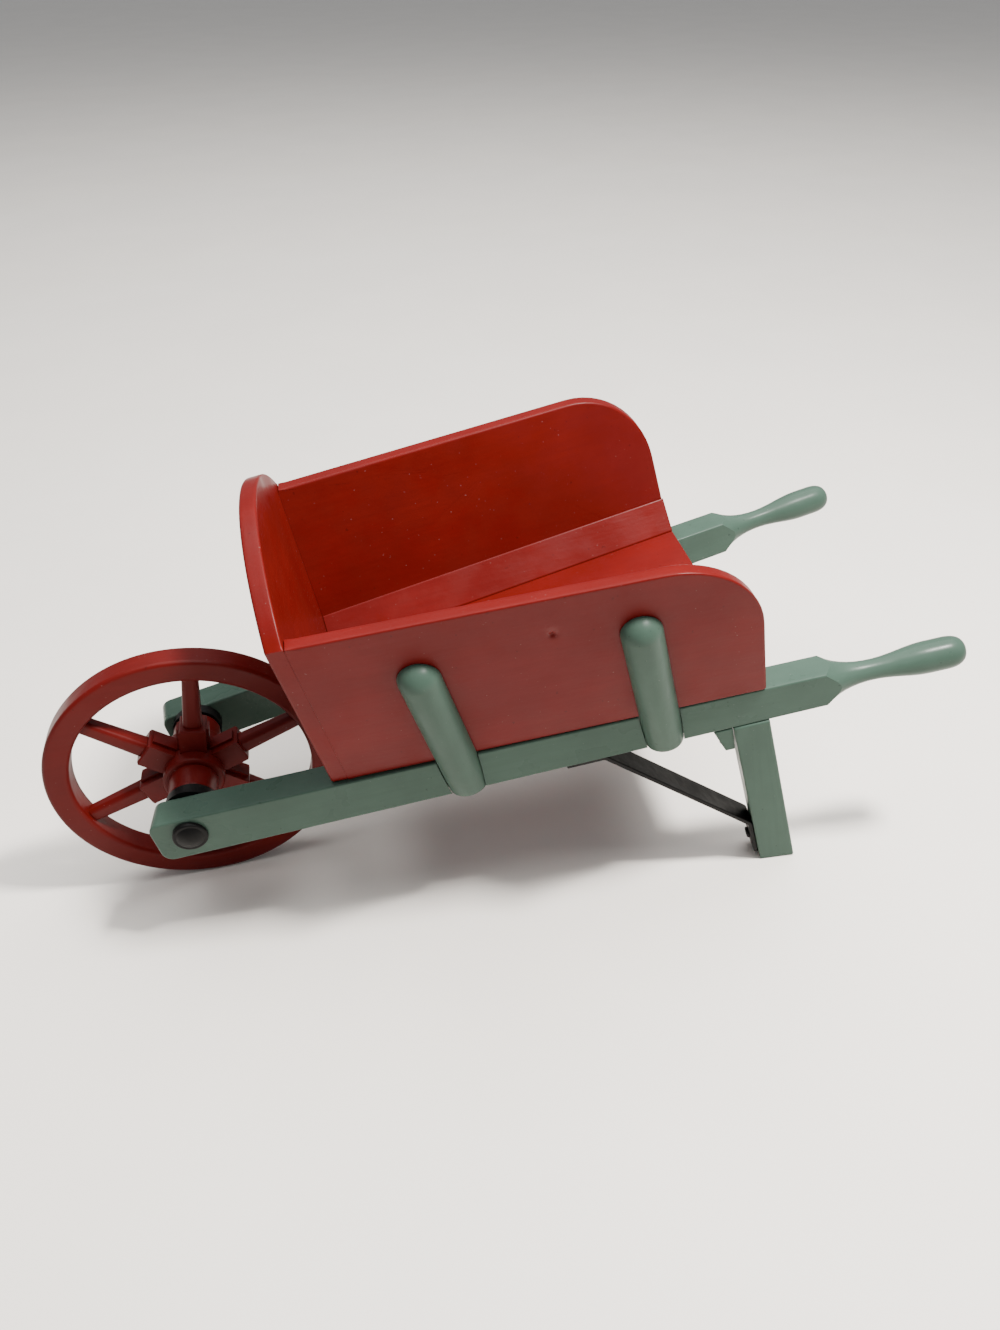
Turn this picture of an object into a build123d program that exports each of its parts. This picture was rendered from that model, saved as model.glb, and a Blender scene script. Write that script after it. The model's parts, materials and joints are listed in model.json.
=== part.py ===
from build123d import *
import math
import os

# Small painted wooden wheelbarrow: one spoked wheel between two converging shafts, an open-backed
# tray with flared sides on top of them, four half-round stakes, two legs and two iron braces.
# Millimetres. +Z is up, the wheel is towards -X and the grips towards +X, so the pusher faces -X and
# "left" is -Y. The ground is z = 0, touched by the wheel and both feet.

# ---------------------------------------------------------------- driving dimensions
WHEEL_RADIUS = 64.0          # centre to tread
RIM_DEPTH = 11.2             # tread to the inside of the rim
RIM_WIDTH = 12.8             # across the tread
RIM_EDGE = 1.6               # rounding of the rim's edges
SPOKE_COUNT = 6
WHEEL_TURN = 10.0            # first spoke from upright, towards the grips, degrees
SPOKE_HUB_WIDTH = 8.3        # square spoke at the hub
SPOKE_RIM_WIDTH = 7.0        # square spoke at the rim
SPOKE_CORNER = 0.27          # corner rounding as a share of the spoke's width
SPOKE_TENON_HUB = 3.0        # tenon radius in the hub
SPOKE_TENON_RIM = 2.5        # tenon radius in the rim
HUB_TENON_LENGTH = 9.0
RIM_TENON_LENGTH = 6.0
HUB_BARREL_RADIUS = 13.5
HUB_BARREL_HALF = 12.5       # spoke plane to the barrel's end
HUB_NOSE_RADIUS = 10.7
HUB_EDGE = 1.5               # rounding of the barrel's and noses' edges
SOCKET_WIDTH = 11.6          # spoke socket block, round the wheel
SOCKET_DEPTH = 13.0          # spoke socket block, along the axle
SOCKET_REACH = 25.0          # axle to the block's end
COLLAR_WIDTH = 14.0          # raised band round the middle of each block
COLLAR_DEPTH = 6.0
COLLAR_REACH = 23.5
SOCKET_EDGE = 0.7            # chamfer round the block's end
AXLE_RADIUS = 3.0
CAP_RADIUS = 7.4             # black axle cap
CAP_DOME = 2.0
CAP_LIP = 1.6                # flat ring round the dome
CAP_EDGE = 0.8
CAP_STAND = 2.4              # shaft face to the cap's shoulder, on the axle
WASHER_RADIUS = 11.3
WASHER_THICK = 5.0           # at the axle, between hub and shaft

PITCH = 8.5                  # shafts rise towards the grips, degrees
TOE = 6.2                    # each shaft turns in towards the wheel, degrees
SHAFT_HALF_SPREAD = 47.0     # middle of the barrow to a shaft's outer face, at the axle
SHAFT_THICK = 15.5           # across a shaft
SHAFT_DEPTH_FRONT = 22.0     # top to underside, at the axle
SHAFT_DEPTH_REAR = 18.5      # the same, at the grip's shoulder
SHAFT_NOSE = 15.5            # axle to the front end
SHAFT_NOSE_ROUND = 5.0
SHOULDER_BEYOND_TRAY = 28.5  # tray's rear end to the end of the square stock
GRIP_LENGTH = 70.0           # end of the square stock to the end of the grip
DECK_ABOVE_AXLE = 9.0        # axle to the shafts' top faces
SHAFT_EDGE = 1.0             # eased edges of the shafts
STOCK_SPARE = 1.0            # square stock left beyond the grip before it is turned
NECK_REACH = 25.0            # end of the square stock to the thinnest place of the grip
NECK_RADIUS = 4.9
SHOULDER_STEEP = 0.9         # slope of the turned hollow where it leaves the square stock
SWELL_REACH = 52.0           # end of the square stock to where the grip is thickest
GRIP_ROUND = 10.0            # length of the grip's rounded end
GRIP_RADIUS = 7.65           # at its thickest, just inside the square stock

BOARD_THICK = 7.4            # front and side boards
FLOOR_THICK = 6.0
WHEEL_CLEARANCE = 2.1        # tread to the front board's lower edge
TRAY_LENGTH = 195.0          # front board's front face to the rear ends of the boards
TRAY_INSET = 3.2             # shaft's outer face to the side board's, carried forward to the axle
TRAY_TOE = 7.0               # each side board turns in towards the wheel, degrees
TRAY_FLARE = 0.21            # the sides lean out by this for each mm of height
SIDE_HEIGHT_FRONT = 86.5
SIDE_HEIGHT_REAR = 82.5
SIDE_REAR_LEAN = 2.0         # rear end leans forward by this at the top
SIDE_REAR_RADIUS = 40.0      # big round corner at the top rear
ARCH_RISE = 29.0             # front board's top above the sides' top
STRIP_WIDTH = 9.0            # corner strip, across the floor
STRIP_HEIGHT = 16.0          # corner strip, up the side

STAKE_RADIUS = 9.0           # half-round stake
STAKE_REACH = 65.5           # up the side board, to the top of the dome
FRONT_STAKE_REACH = 55.3     # front board's front face to the front stakes' middle
REAR_STAKE_REACH = 48.9      # tray's rear end to the rear stakes' middle
STAKE_LEAN = 2.2             # tops lean towards the wheel, degrees

LEG_WIDTH = 17.2
LEG_THICK = 14.0
LEG_AHEAD = 14.5             # tray's rear end to the leg's front face, under the shaft
LEG_RAKE = 3.7               # from square to the shaft, foot towards the rear, degrees
LEG_PROUD = 0.8              # the leg's outer face stands out from the shaft's
LEG_EDGE = 0.7
BAR_THICK = 9.0              # cross bar ahead of the legs, along the shafts
BAR_BEVEL = 4.5              # how far its front face slopes back
BAR_HEIGHT = 13.0

BRACE_THICK = 2.2
BRACE_WIDTH = 13.0
BRACE_REACH = 59.5           # leg's front face to the brace's first bend, under the shaft
BRACE_UPPER_LAP = 18.5       # length lying under the shaft
BRACE_LOWER_LAP = 21.0       # length lying down the leg
BRACE_LIFT = 3.4             # ground to its lower end, along the leg

SCREW_RADIUS = 1.5
SCREW_HEAD_RADIUS = 2.8
SCREW_HEAD_HEIGHT = 1.5
SCREW_HEAD_ROUND = 0.9
SCREW_SLOT = 0.8             # width of the driver's slot
TRAY_SCREW_LENGTH = 27.0     # head to tip
TRAY_SCREW_BITE = 3.5        # into the corner strip
TRAY_SCREW_SHARE = 0.35      # across the corner strip, from the side board
TRAY_SCREW_FRONT = 27.0      # front board's face to the front pair
TRAY_SCREW_REAR = 68.0       # rear end of the floor to the rear pair
STAKE_SCREW_BITE = 1.5       # beyond the shaft's thickness
STAKE_SCREW_SHARE = 0.4      # down the shaft's inner face
LEG_SCREW_BITE = 22.0        # into the leg
LEG_SCREW_SHARE = 0.45       # across the leg, from its front
BRACE_SCREW_LENGTH = 10.0
BRACE_SCREW_LOW = 2.0        # below the middle of the strap's lower end
BAR_SCREW_BITE = 12.0        # into the shaft
NAIL_RADIUS = 0.7
NAIL_LENGTH = 20.0
NAIL_HEIGHTS = (14.0, 42.0, 70.0)

# named clearances
GLUE_GAP = 0.04              # between glued or nailed faces that don't lie square
RUN_GAP = 0.08               # wheel on axle, radially
SIDE_GAP = 0.35              # hub nose to washer
NOTCH_GAP = 0.45             # round a stake's foot in its notch
HOLE_GAP = 0.03              # screw, nail, tenon or axle in its hole
TENON_END_GAP = 0.3

BIG = 1200.0                 # larger than the barrow

# ---------------------------------------------------------------- frames and shared geometry
# "deck" frame: x runs up along the tray floor from above the axle, z = 0 is the shafts' top.
# Places "along" the barrow are measured in it from the axle.
deck = Location((0, 0, WHEEL_RADIUS), (0, -PITCH, 0)) * Pos(0, 0, DECK_ABOVE_AXLE)
tray_front = math.sqrt(WHEEL_RADIUS**2 - DECK_ABOVE_AXLE**2) + WHEEL_CLEARANCE
tray_rear = tray_front + TRAY_LENGTH
tray_half_front = SHAFT_HALF_SPREAD - TRAY_INSET
shaft_shoulder = tray_rear + SHOULDER_BEYOND_TRAY
shaft_end = shaft_shoulder + GRIP_LENGTH
leg_place = tray_rear - LEG_AHEAD
stake_places = {"front": tray_front + FRONT_STAKE_REACH, "rear": tray_rear - REAR_STAKE_REACH}
hub_half_length = (
    SHAFT_HALF_SPREAD - SHAFT_THICK / math.cos(math.radians(TOE)) - WASHER_THICK - SIDE_GAP
)
toe_slope = math.tan(math.radians(TOE))
tray_slope = math.tan(math.radians(TRAY_TOE))
shaft_centre = SHAFT_HALF_SPREAD - SHAFT_THICK / 2 / math.cos(math.radians(TOE))
# left shaft's own frame: x along the shaft, y = 0 in its middle, z = 0 its top face
shaft_frame = deck * Location((0, -shaft_centre, 0), (0, 0, -TOE))
board_normal = Vector(-tray_slope, -1, -TRAY_FLARE).normalized()
board_plane = Plane(
    origin=(0, -tray_half_front, 0),
    x_dir=(1, -tray_slope, 0),
    z_dir=board_normal,
)
board_slant = math.sqrt(1 + tray_slope**2 + TRAY_FLARE**2)
underside_slope = (SHAFT_DEPTH_FRONT - SHAFT_DEPTH_REAR) / shaft_shoulder


def shaft_underside(along):
    """Depth of the shaft's underside below its top face, at a place along it."""
    return SHAFT_DEPTH_FRONT - underside_slope * along


def right_of(shape):
    """The same piece on the other side of the barrow."""
    return mirror(shape, about=Plane.XZ)


def side_profile(points, half_width, offset=0.0):
    """Outline in the (x, z) plane, extruded to both sides of y = offset."""
    outline = Plane.XZ * make_face(Polyline(*points, close=True))
    return Pos(0, offset, 0) * extrude(outline, half_width, both=True)


def outside_of_board(inset):
    """Everything outside the left board's outer plane moved inwards by inset."""
    sheet = board_plane * Pos(0, 0, -inset) * Rectangle(BIG, BIG)
    return extrude(sheet, BIG)


def between_boards(inset):
    """The wedge-shaped space between the two board planes, each moved inwards by inset."""
    space = Box(BIG / 2, BIG / 2, BIG / 2)
    left_cut = outside_of_board(inset)
    return space - left_cut - right_of(left_cut)


def outside_shaft_face(gap=0.0):
    """Everything outside the left shaft's outer face, in the deck's frame."""
    sheet = Box(BIG, BIG, BIG)
    place = Location((0, -shaft_centre, 0), (0, 0, -TOE))
    return place * Pos(0, -SHAFT_THICK / 2 - gap - BIG / 2, 0) * sheet


def screw(length):
    """Round-headed wood screw: head above z = 0, shank down from it, with a slot in the head."""
    shank = Pos(0, 0, -length / 2) * Cylinder(SCREW_RADIUS, length)
    head = Pos(0, 0, SCREW_HEAD_HEIGHT / 2) * Cylinder(SCREW_HEAD_RADIUS, SCREW_HEAD_HEIGHT)
    head = fillet(head.edges().group_by(Axis.Z)[-1], SCREW_HEAD_ROUND)
    slot = Pos(0, 0, SCREW_HEAD_HEIGHT) * screw_slot()
    return head + shank - slot


def screw_slot():
    """Block that cuts the slot half a head deep, with its middle on the head's top."""
    return Box(2 * SCREW_HEAD_RADIUS, SCREW_SLOT, SCREW_HEAD_HEIGHT)


def screw_hole(length):
    """Hole for the shank of a screw of that length, with the head's seat at z = 0."""
    depth = length + TENON_END_GAP
    return Pos(0, 0, -depth / 2) * Cylinder(SCREW_RADIUS + HOLE_GAP, depth)


def sunk_screw(length, sink):
    """Flat-headed screw whose head lies at the bottom of a recess of that depth."""
    head = Pos(0, 0, -sink - SCREW_HEAD_HEIGHT / 2) * Cylinder(SCREW_HEAD_RADIUS, SCREW_HEAD_HEIGHT)
    slot = Pos(0, 0, -sink) * screw_slot()
    shank_length = length - sink - SCREW_HEAD_HEIGHT
    shank = Pos(0, 0, -length + shank_length / 2) * Cylinder(SCREW_RADIUS, shank_length)
    return head - slot + shank


def sunk_hole(length, sink):
    """Recess for the head and hole for the shank of a sunk screw."""
    recess_depth = sink + SCREW_HEAD_HEIGHT + HOLE_GAP
    recess = Pos(0, 0, -recess_depth / 2) * Cylinder(SCREW_HEAD_RADIUS + HOLE_GAP, recess_depth)
    return recess + screw_hole(length)


# ---------------------------------------------------------------- wheel
def wheel_place(angle):
    """Frame with z pointing out of the axle along a spoke at that angle, y along the axle."""
    return Location((0, 0, WHEEL_RADIUS)) * Rot(0, angle, 0)


def make_rim():
    """Turned ring with eased edges and a blind mortise for each spoke."""
    inner = WHEEL_RADIUS - RIM_DEPTH
    ring = Rot(90, 0, 0) * (Cylinder(WHEEL_RADIUS, RIM_WIDTH) - Cylinder(inner, RIM_WIDTH))
    ring = fillet(ring.edges().filter_by(GeomType.CIRCLE), RIM_EDGE)
    ring = Pos(0, 0, WHEEL_RADIUS) * ring
    depth = RIM_TENON_LENGTH + TENON_END_GAP
    for angle in spoke_angles:
        mortise = Pos(0, 0, inner + depth / 2 - 1) * Cylinder(SPOKE_TENON_RIM + HOLE_GAP, depth + 2)
        ring -= wheel_place(angle) * mortise
    return ring


def make_spoke(angle):
    """Square spoke with rounded corners, tapering to the rim, with a round tenon at each end."""
    inner = WHEEL_RADIUS - RIM_DEPTH
    start = SOCKET_REACH + GLUE_GAP
    end = inner - rim_seat - GLUE_GAP
    root = RectangleRounded(SPOKE_HUB_WIDTH, SPOKE_HUB_WIDTH, SPOKE_HUB_WIDTH * SPOKE_CORNER)
    tip = RectangleRounded(SPOKE_RIM_WIDTH, SPOKE_RIM_WIDTH, SPOKE_RIM_WIDTH * SPOKE_CORNER)
    body = loft([Pos(0, 0, start) * root, Pos(0, 0, end) * tip])
    hub_tenon = Pos(0, 0, start - HUB_TENON_LENGTH / 2) * Cylinder(SPOKE_TENON_HUB, HUB_TENON_LENGTH)
    reach = inner + RIM_TENON_LENGTH - end
    rim_tenon = Pos(0, 0, end + reach / 2) * Cylinder(SPOKE_TENON_RIM, reach)
    return wheel_place(angle) * (body + hub_tenon + rim_tenon)


def make_hub():
    """Turned barrel and noses, with a square socket block for each spoke."""
    barrel = Cylinder(HUB_BARREL_RADIUS, 2 * HUB_BARREL_HALF)
    barrel = fillet(barrel.edges().filter_by(GeomType.CIRCLE), HUB_EDGE)
    nose = Cylinder(HUB_NOSE_RADIUS, 2 * hub_half_length)
    nose = fillet(nose.edges().filter_by(GeomType.CIRCLE), HUB_EDGE)
    hub = Pos(0, 0, WHEEL_RADIUS) * Rot(90, 0, 0) * (barrel + nose)
    block = Pos(0, 0, SOCKET_REACH / 2) * Box(SOCKET_WIDTH, SOCKET_DEPTH, SOCKET_REACH)
    block = chamfer(block.faces().sort_by(Axis.Z)[-1].edges(), SOCKET_EDGE)
    collar = Pos(0, 0, COLLAR_REACH / 2) * Box(COLLAR_WIDTH, COLLAR_DEPTH, COLLAR_REACH)
    depth = HUB_TENON_LENGTH + TENON_END_GAP
    socket = Pos(0, 0, SOCKET_REACH - depth / 2) * Cylinder(SPOKE_TENON_HUB + HOLE_GAP, depth)
    for angle in spoke_angles:
        hub += wheel_place(angle) * (block + collar)
    for angle in spoke_angles:
        hub -= wheel_place(angle) * socket
    return hub - Pos(0, 0, WHEEL_RADIUS) * Rot(90, 0, 0) * Cylinder(AXLE_RADIUS + RUN_GAP, BIG)


spoke_angles = [WHEEL_TURN + index * 360 / SPOKE_COUNT for index in range(SPOKE_COUNT)]
# a flat spoke shoulder meets the round inside of the rim at its corners
rim_inner = WHEEL_RADIUS - RIM_DEPTH
rim_seat = rim_inner - math.sqrt(rim_inner**2 - (SPOKE_RIM_WIDTH / 2) ** 2)


def make_axle():
    """Steel rod through both shafts and the hub, held in the caps."""
    half = SHAFT_HALF_SPREAD + CAP_STAND
    return Pos(0, 0, WHEEL_RADIUS) * Rot(90, 0, 0) * Cylinder(AXLE_RADIUS, 2 * half)


def make_left_cap():
    """Domed cap over the axle's end, its back cut to the slanting shaft face."""
    skirt_end = SHAFT_HALF_SPREAD + CAP_STAND
    skirt = Pos(0, 0, skirt_end / 2) * Cylinder(CAP_RADIUS, skirt_end)
    lip = skirt.edges().group_by(Axis.Z)[-1]
    skirt = fillet(lip, CAP_EDGE)
    crown = CAP_RADIUS - CAP_LIP
    ball = (crown**2 + CAP_DOME**2) / 2 / CAP_DOME
    dome = Pos(0, 0, skirt_end + CAP_DOME - ball) * Sphere(ball)
    dome -= Pos(0, 0, skirt_end - BIG / 2) * Box(BIG, BIG, BIG)
    hole = Pos(0, 0, skirt_end / 2) * Cylinder(AXLE_RADIUS + HOLE_GAP, skirt_end + 2 * HOLE_GAP)
    cap = Pos(0, 0, WHEEL_RADIUS) * Rot(90, 0, 0) * (skirt + dome - hole)
    return cap & deck * outside_shaft_face(GLUE_GAP)


def make_left_washer():
    """Tapered washer between the hub's nose and the slanting inner face of the shaft."""
    start = hub_half_length + SIDE_GAP
    length = SHAFT_HALF_SPREAD - start
    blank = Cylinder(WASHER_RADIUS, length) - Cylinder(AXLE_RADIUS + HOLE_GAP, length)
    blank = Pos(0, -start - length / 2, WHEEL_RADIUS) * Rot(90, 0, 0) * blank
    return blank - deck * outside_shaft_face(-SHAFT_THICK - GLUE_GAP)


# ---------------------------------------------------------------- shafts
def make_left_shaft():
    """Tapered square stock with a rounded front end and a turned, waisted grip, all one piece."""
    stock_end = shaft_end + STOCK_SPARE
    outline = Plane.XZ * make_face(
        Polyline(
            (-SHAFT_NOSE, 0),
            (stock_end, 0),
            (stock_end, -shaft_underside(stock_end)),
            (-SHAFT_NOSE, -shaft_underside(-SHAFT_NOSE)),
            close=True,
        )
    )
    nose_corners = outline.vertices().group_by(Axis.X)[0]
    outline = fillet(nose_corners, SHAFT_NOSE_ROUND)
    stock = extrude(outline, SHAFT_THICK / 2, both=True)
    stock = fillet(stock.edges(), SHAFT_EDGE)
    axis_height = -shaft_underside(shaft_shoulder) / 2
    corner = math.hypot(SHAFT_THICK / 2, SHAFT_DEPTH_REAR / 2) + SHAFT_EDGE
    neck = (shaft_shoulder + NECK_REACH, NECK_RADIUS)
    thickest = (shaft_shoulder + SWELL_REACH, GRIP_RADIUS)
    round_start = shaft_end - GRIP_ROUND
    shoulder = Spline((shaft_shoulder, corner), neck, tangents=[(1, -SHOULDER_STEEP), (1, 0)])
    swell = Spline(neck, thickest, tangents=[(1, 0), (1, 0)])
    palm = Line(thickest, (round_start, GRIP_RADIUS))
    end = Spline((round_start, GRIP_RADIUS), (shaft_end, 0), tangents=[(1, 0), (0, -1)])
    front = -SHAFT_NOSE - STOCK_SPARE
    back = Polyline(
        (shaft_end, 0), (front, 0), (front, 4 * corner), (shaft_shoulder, 4 * corner),
        (shaft_shoulder, corner),
    )
    half = make_face(shoulder + swell + palm + end + back)
    turned = revolve(Plane.XZ * half, Axis.X)
    shaft = stock & Pos(0, 0, axis_height) * turned
    shaft = shaft_frame * shaft
    for place in stake_places.values():
        shaft -= deck * stake_notch(place)
    shaft -= Pos(0, -BIG / 4, WHEEL_RADIUS) * Rot(90, 0, 0) * Cylinder(AXLE_RADIUS + HOLE_GAP, BIG / 2)
    for place in tray_screw_places:
        shaft -= place * sunk_hole(tray_screw_reach, tray_screw_sink)
    for place in stake_screw_places:
        shaft -= place * screw_hole(stake_screw_length)
    shaft -= leg_screw_place * sunk_hole(leg_screw_length, 0)
    shaft -= brace_screw_places[0] * screw_hole(BRACE_SCREW_LENGTH)
    shaft -= bar_screw_place * screw_hole(bar_screw_length)
    return shaft


# ---------------------------------------------------------------- tray, in the deck's frame
def inner_half_width(along, height):
    """Half width between the side boards' inner faces."""
    foot = tray_half_front + tray_slope * along
    return foot + TRAY_FLARE * height - BOARD_THICK * board_slant


def make_left_side():
    """Flared side board with a big round top corner at its open rear end."""
    start = tray_front + BOARD_THICK
    fall = (SIDE_HEIGHT_FRONT - SIDE_HEIGHT_REAR) / (tray_rear - tray_front)
    outline = Plane.XZ * make_face(
        Polyline(
            (start, 0),
            (tray_rear, 0),
            (tray_rear - SIDE_REAR_LEAN, SIDE_HEIGHT_REAR),
            (start, SIDE_HEIGHT_FRONT - fall * BOARD_THICK),
            close=True,
        )
    )
    top_rear = outline.vertices().sort_by(Axis.Z)[-2:].sort_by(Axis.X)[-1]
    outline = fillet(top_rear, SIDE_REAR_RADIUS)
    blank = extrude(outline, BIG / 4, both=True)
    slab = extrude(board_plane * Rectangle(BIG, BIG), -BOARD_THICK)
    board = blank & slab
    for nail in nail_places:
        board -= nail * nail_hole()
    return deck * board


def make_front_board():
    """Board across the front, covering the side boards' ends, with an arched top."""
    half = tray_half_front + tray_slope * tray_front + TRAY_FLARE * SIDE_HEIGHT_FRONT
    wide = half + 2 * BOARD_THICK
    arch = ThreePointArc(
        (-half, SIDE_HEIGHT_FRONT), (0, SIDE_HEIGHT_FRONT + ARCH_RISE), (half, SIDE_HEIGHT_FRONT)
    )
    rest = Polyline(
        (half, SIDE_HEIGHT_FRONT), (wide, SIDE_HEIGHT_FRONT), (wide, 0), (-wide, 0),
        (-wide, SIDE_HEIGHT_FRONT), (-half, SIDE_HEIGHT_FRONT),
    )
    outline = Plane.YZ * make_face(arch + rest)
    blank = Pos(tray_front, 0, 0) * extrude(outline, BOARD_THICK)
    board = blank & between_boards(0)
    for nail in nail_places:
        board -= nail * nail_hole()
        board -= right_of(nail * nail_hole())
    return deck * board


def make_floor():
    """Tray floor, resting on both shafts between the side boards."""
    start = tray_front + BOARD_THICK + GLUE_GAP
    length = tray_rear - start
    blank = Pos(start + length / 2, 0, FLOOR_THICK / 2) * Box(length, BIG / 2, FLOOR_THICK)
    floor = deck * (blank & between_boards(BOARD_THICK + GLUE_GAP))
    for place in tray_screw_places:
        hole = place * screw_hole(tray_screw_reach)
        floor = floor - hole - right_of(hole)
    return floor


def make_left_strip():
    """Three-cornered strip in the angle between the floor and the side board."""
    start = tray_front + BOARD_THICK + GLUE_GAP
    length = tray_rear - start
    low = FLOOR_THICK
    blank = Pos(start + length / 2, 0, low + STRIP_HEIGHT / 2) * Box(length, BIG / 2, STRIP_HEIGHT)
    blank &= between_boards(BOARD_THICK + GLUE_GAP)
    toe_low = Vector(0, -(inner_half_width(0, low) - STRIP_WIDTH), low)
    toe_far = Vector(BIG, -(inner_half_width(BIG, low) - STRIP_WIDTH), low)
    crest = Vector(0, -inner_half_width(0, low + STRIP_HEIGHT), low + STRIP_HEIGHT)
    along = (toe_far - toe_low).normalized()
    normal = along.cross(crest - toe_low).normalized()
    if normal.Y > 0:
        normal = normal * -1
    face = Plane(origin=toe_low, x_dir=along, z_dir=normal)
    strip = deck * (blank & extrude(face * Rectangle(2 * BIG, BIG), BIG))
    for place in tray_screw_places:
        strip -= place * screw_hole(tray_screw_reach)
    return strip


# ---------------------------------------------------------------- stakes, in the deck's frame
def stake_axis(along):
    """Frame on the board's outer face: z runs up the stake from the level of the deck."""
    run = along / math.cos(math.radians(TRAY_TOE))
    return board_plane.location * Pos(run, 0, 0) * Rot(0, 0, STAKE_LEAN) * Rot(-90, 0, 0)


def make_left_stake(along):
    """Half-round stake with a domed top, flat back on the side board, foot in the shaft."""
    top = STAKE_REACH - STAKE_RADIUS
    rod = Pos(0, 0, (top - BIG / 4) / 2) * Cylinder(STAKE_RADIUS, top + BIG / 4)
    stake = stake_axis(along) * (rod + Pos(0, 0, top) * Sphere(STAKE_RADIUS))
    stake &= outside_of_board(-GLUE_GAP)
    foot = -shaft_underside(along)
    stake -= Pos(0, 0, foot - BIG / 2) * Box(BIG, BIG, BIG)
    stake = deck * stake
    for place in stake_screw_places:
        stake -= place * screw_hole(stake_screw_length)
    return stake


def stake_notch(along):
    """Notch in the shaft's outer face for the stake's foot, with a little room round it."""
    rod = Pos(0, 0, -BIG / 8 + 1) * Cylinder(STAKE_RADIUS + NOTCH_GAP, BIG / 4)
    return stake_axis(along) * rod & outside_of_board(NOTCH_GAP)


# ---------------------------------------------------------------- legs, cross bar and braces
def leg_front(depth):
    """Place of the leg's front face along the shaft, at a depth below the shaft's top."""
    return leg_place + math.tan(math.radians(LEG_RAKE)) * (depth - shaft_underside(leg_place))


def make_left_leg():
    """Raked leg under the shaft, its outer face a little proud, its foot cut level."""
    width = LEG_WIDTH / math.cos(math.radians(LEG_RAKE))
    top_front = shaft_underside(leg_place)
    top_rear = shaft_underside(leg_place + width)
    deep = WHEEL_RADIUS * 3
    points = [
        (leg_front(top_front), -top_front - GLUE_GAP),
        (leg_front(top_rear) + width, -top_rear - GLUE_GAP),
        (leg_front(deep) + width, -deep),
        (leg_front(deep), -deep),
    ]
    middle = -(SHAFT_THICK / 2 + LEG_PROUD - LEG_THICK / 2)
    leg = side_profile(points, LEG_THICK / 2, middle)
    leg = chamfer(leg.edges().filter_by(lambda e: e.length > WHEEL_RADIUS), LEG_EDGE)
    leg = shaft_frame * leg - Pos(0, 0, -BIG / 2) * Box(BIG, BIG, BIG)
    leg -= leg_screw_place * screw_hole(leg_screw_length)
    leg -= brace_screw_places[1] * screw_hole(BRACE_SCREW_LENGTH)
    return leg


def make_cross_bar():
    """Bar under both shafts, just ahead of the legs, with its front face bevelled back."""
    rear = bar_rear
    points = [
        (rear - BAR_THICK, -bar_top),
        (rear, -bar_top),
        (rear, -bar_top - BAR_HEIGHT),
        (rear - BAR_THICK + BAR_BEVEL, -bar_top - BAR_HEIGHT),
    ]
    bar = side_profile(points, BIG / 4)
    left_cut = outside_shaft_face()
    bar = deck * (bar - left_cut - right_of(left_cut))
    hole = bar_screw_place * screw_hole(bar_screw_length)
    return bar - hole - right_of(hole)


def strap_outline(inner, thick):
    """Closed outline of a strap: the given line and its offset to the right, with mitred bends."""
    outer = []
    for index, point in enumerate(inner):
        before = inner[max(index - 1, 0)]
        after = inner[min(index + 1, len(inner) - 1)]
        turns = []
        for tail, tip in ((before, point), (point, after)):
            if tail != tip:
                run = Vector(tip[0] - tail[0], tip[1] - tail[1])
                turns.append(Vector(run.Y, -run.X).normalized())
        mean = (turns[0] + turns[-1]).normalized()
        reach = thick / mean.dot(turns[0])
        outer.append((point[0] + mean.X * reach, point[1] + mean.Y * reach))
    return inner + outer[::-1]


def make_left_brace():
    """Iron strap from the shaft's underside down to the leg's front face."""
    inner = [
        (brace_start, -shaft_underside(brace_start) - GLUE_GAP),
        (brace_bend, -shaft_underside(brace_bend) - GLUE_GAP),
        (leg_front(brace_drop) - GLUE_GAP, -brace_drop),
        (leg_front(brace_foot) - GLUE_GAP, -brace_foot),
    ]
    strap = side_profile(strap_outline(inner, BRACE_THICK), BRACE_WIDTH / 2)
    strap = shaft_frame * strap
    for place in brace_screw_places:
        strap -= place * screw_hole(BRACE_SCREW_LENGTH)
    return strap


# ---------------------------------------------------------------- places of the fasteners
tray_screw_reach = SHAFT_DEPTH_FRONT + FLOOR_THICK + TRAY_SCREW_BITE
tray_screw_sink = tray_screw_reach - TRAY_SCREW_LENGTH
stake_screw_length = SHAFT_THICK + STAKE_SCREW_BITE
leg_screw_length = SHAFT_DEPTH_FRONT + LEG_SCREW_BITE
bar_screw_length = BAR_HEIGHT + BAR_SCREW_BITE


def tray_screw_place(along):
    """Screw up through shaft and floor into the corner strip; head recessed underneath."""
    across = -(inner_half_width(along, FLOOR_THICK) - STRIP_WIDTH * TRAY_SCREW_SHARE)
    return deck * Location((along, across, -SHAFT_DEPTH_FRONT)) * Rot(180, 0, 0)


tray_screw_places = [
    tray_screw_place(tray_front + TRAY_SCREW_FRONT),
    tray_screw_place(tray_rear - TRAY_SCREW_REAR),
]


def stake_screw_place(along):
    """Screw from the shaft's inner face outwards into the stake's foot."""
    depth = shaft_underside(along) * STAKE_SCREW_SHARE
    run = along / math.cos(math.radians(TOE))
    return shaft_frame * Location((run, SHAFT_THICK / 2, -depth)) * Rot(-90, 0, 0)


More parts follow.
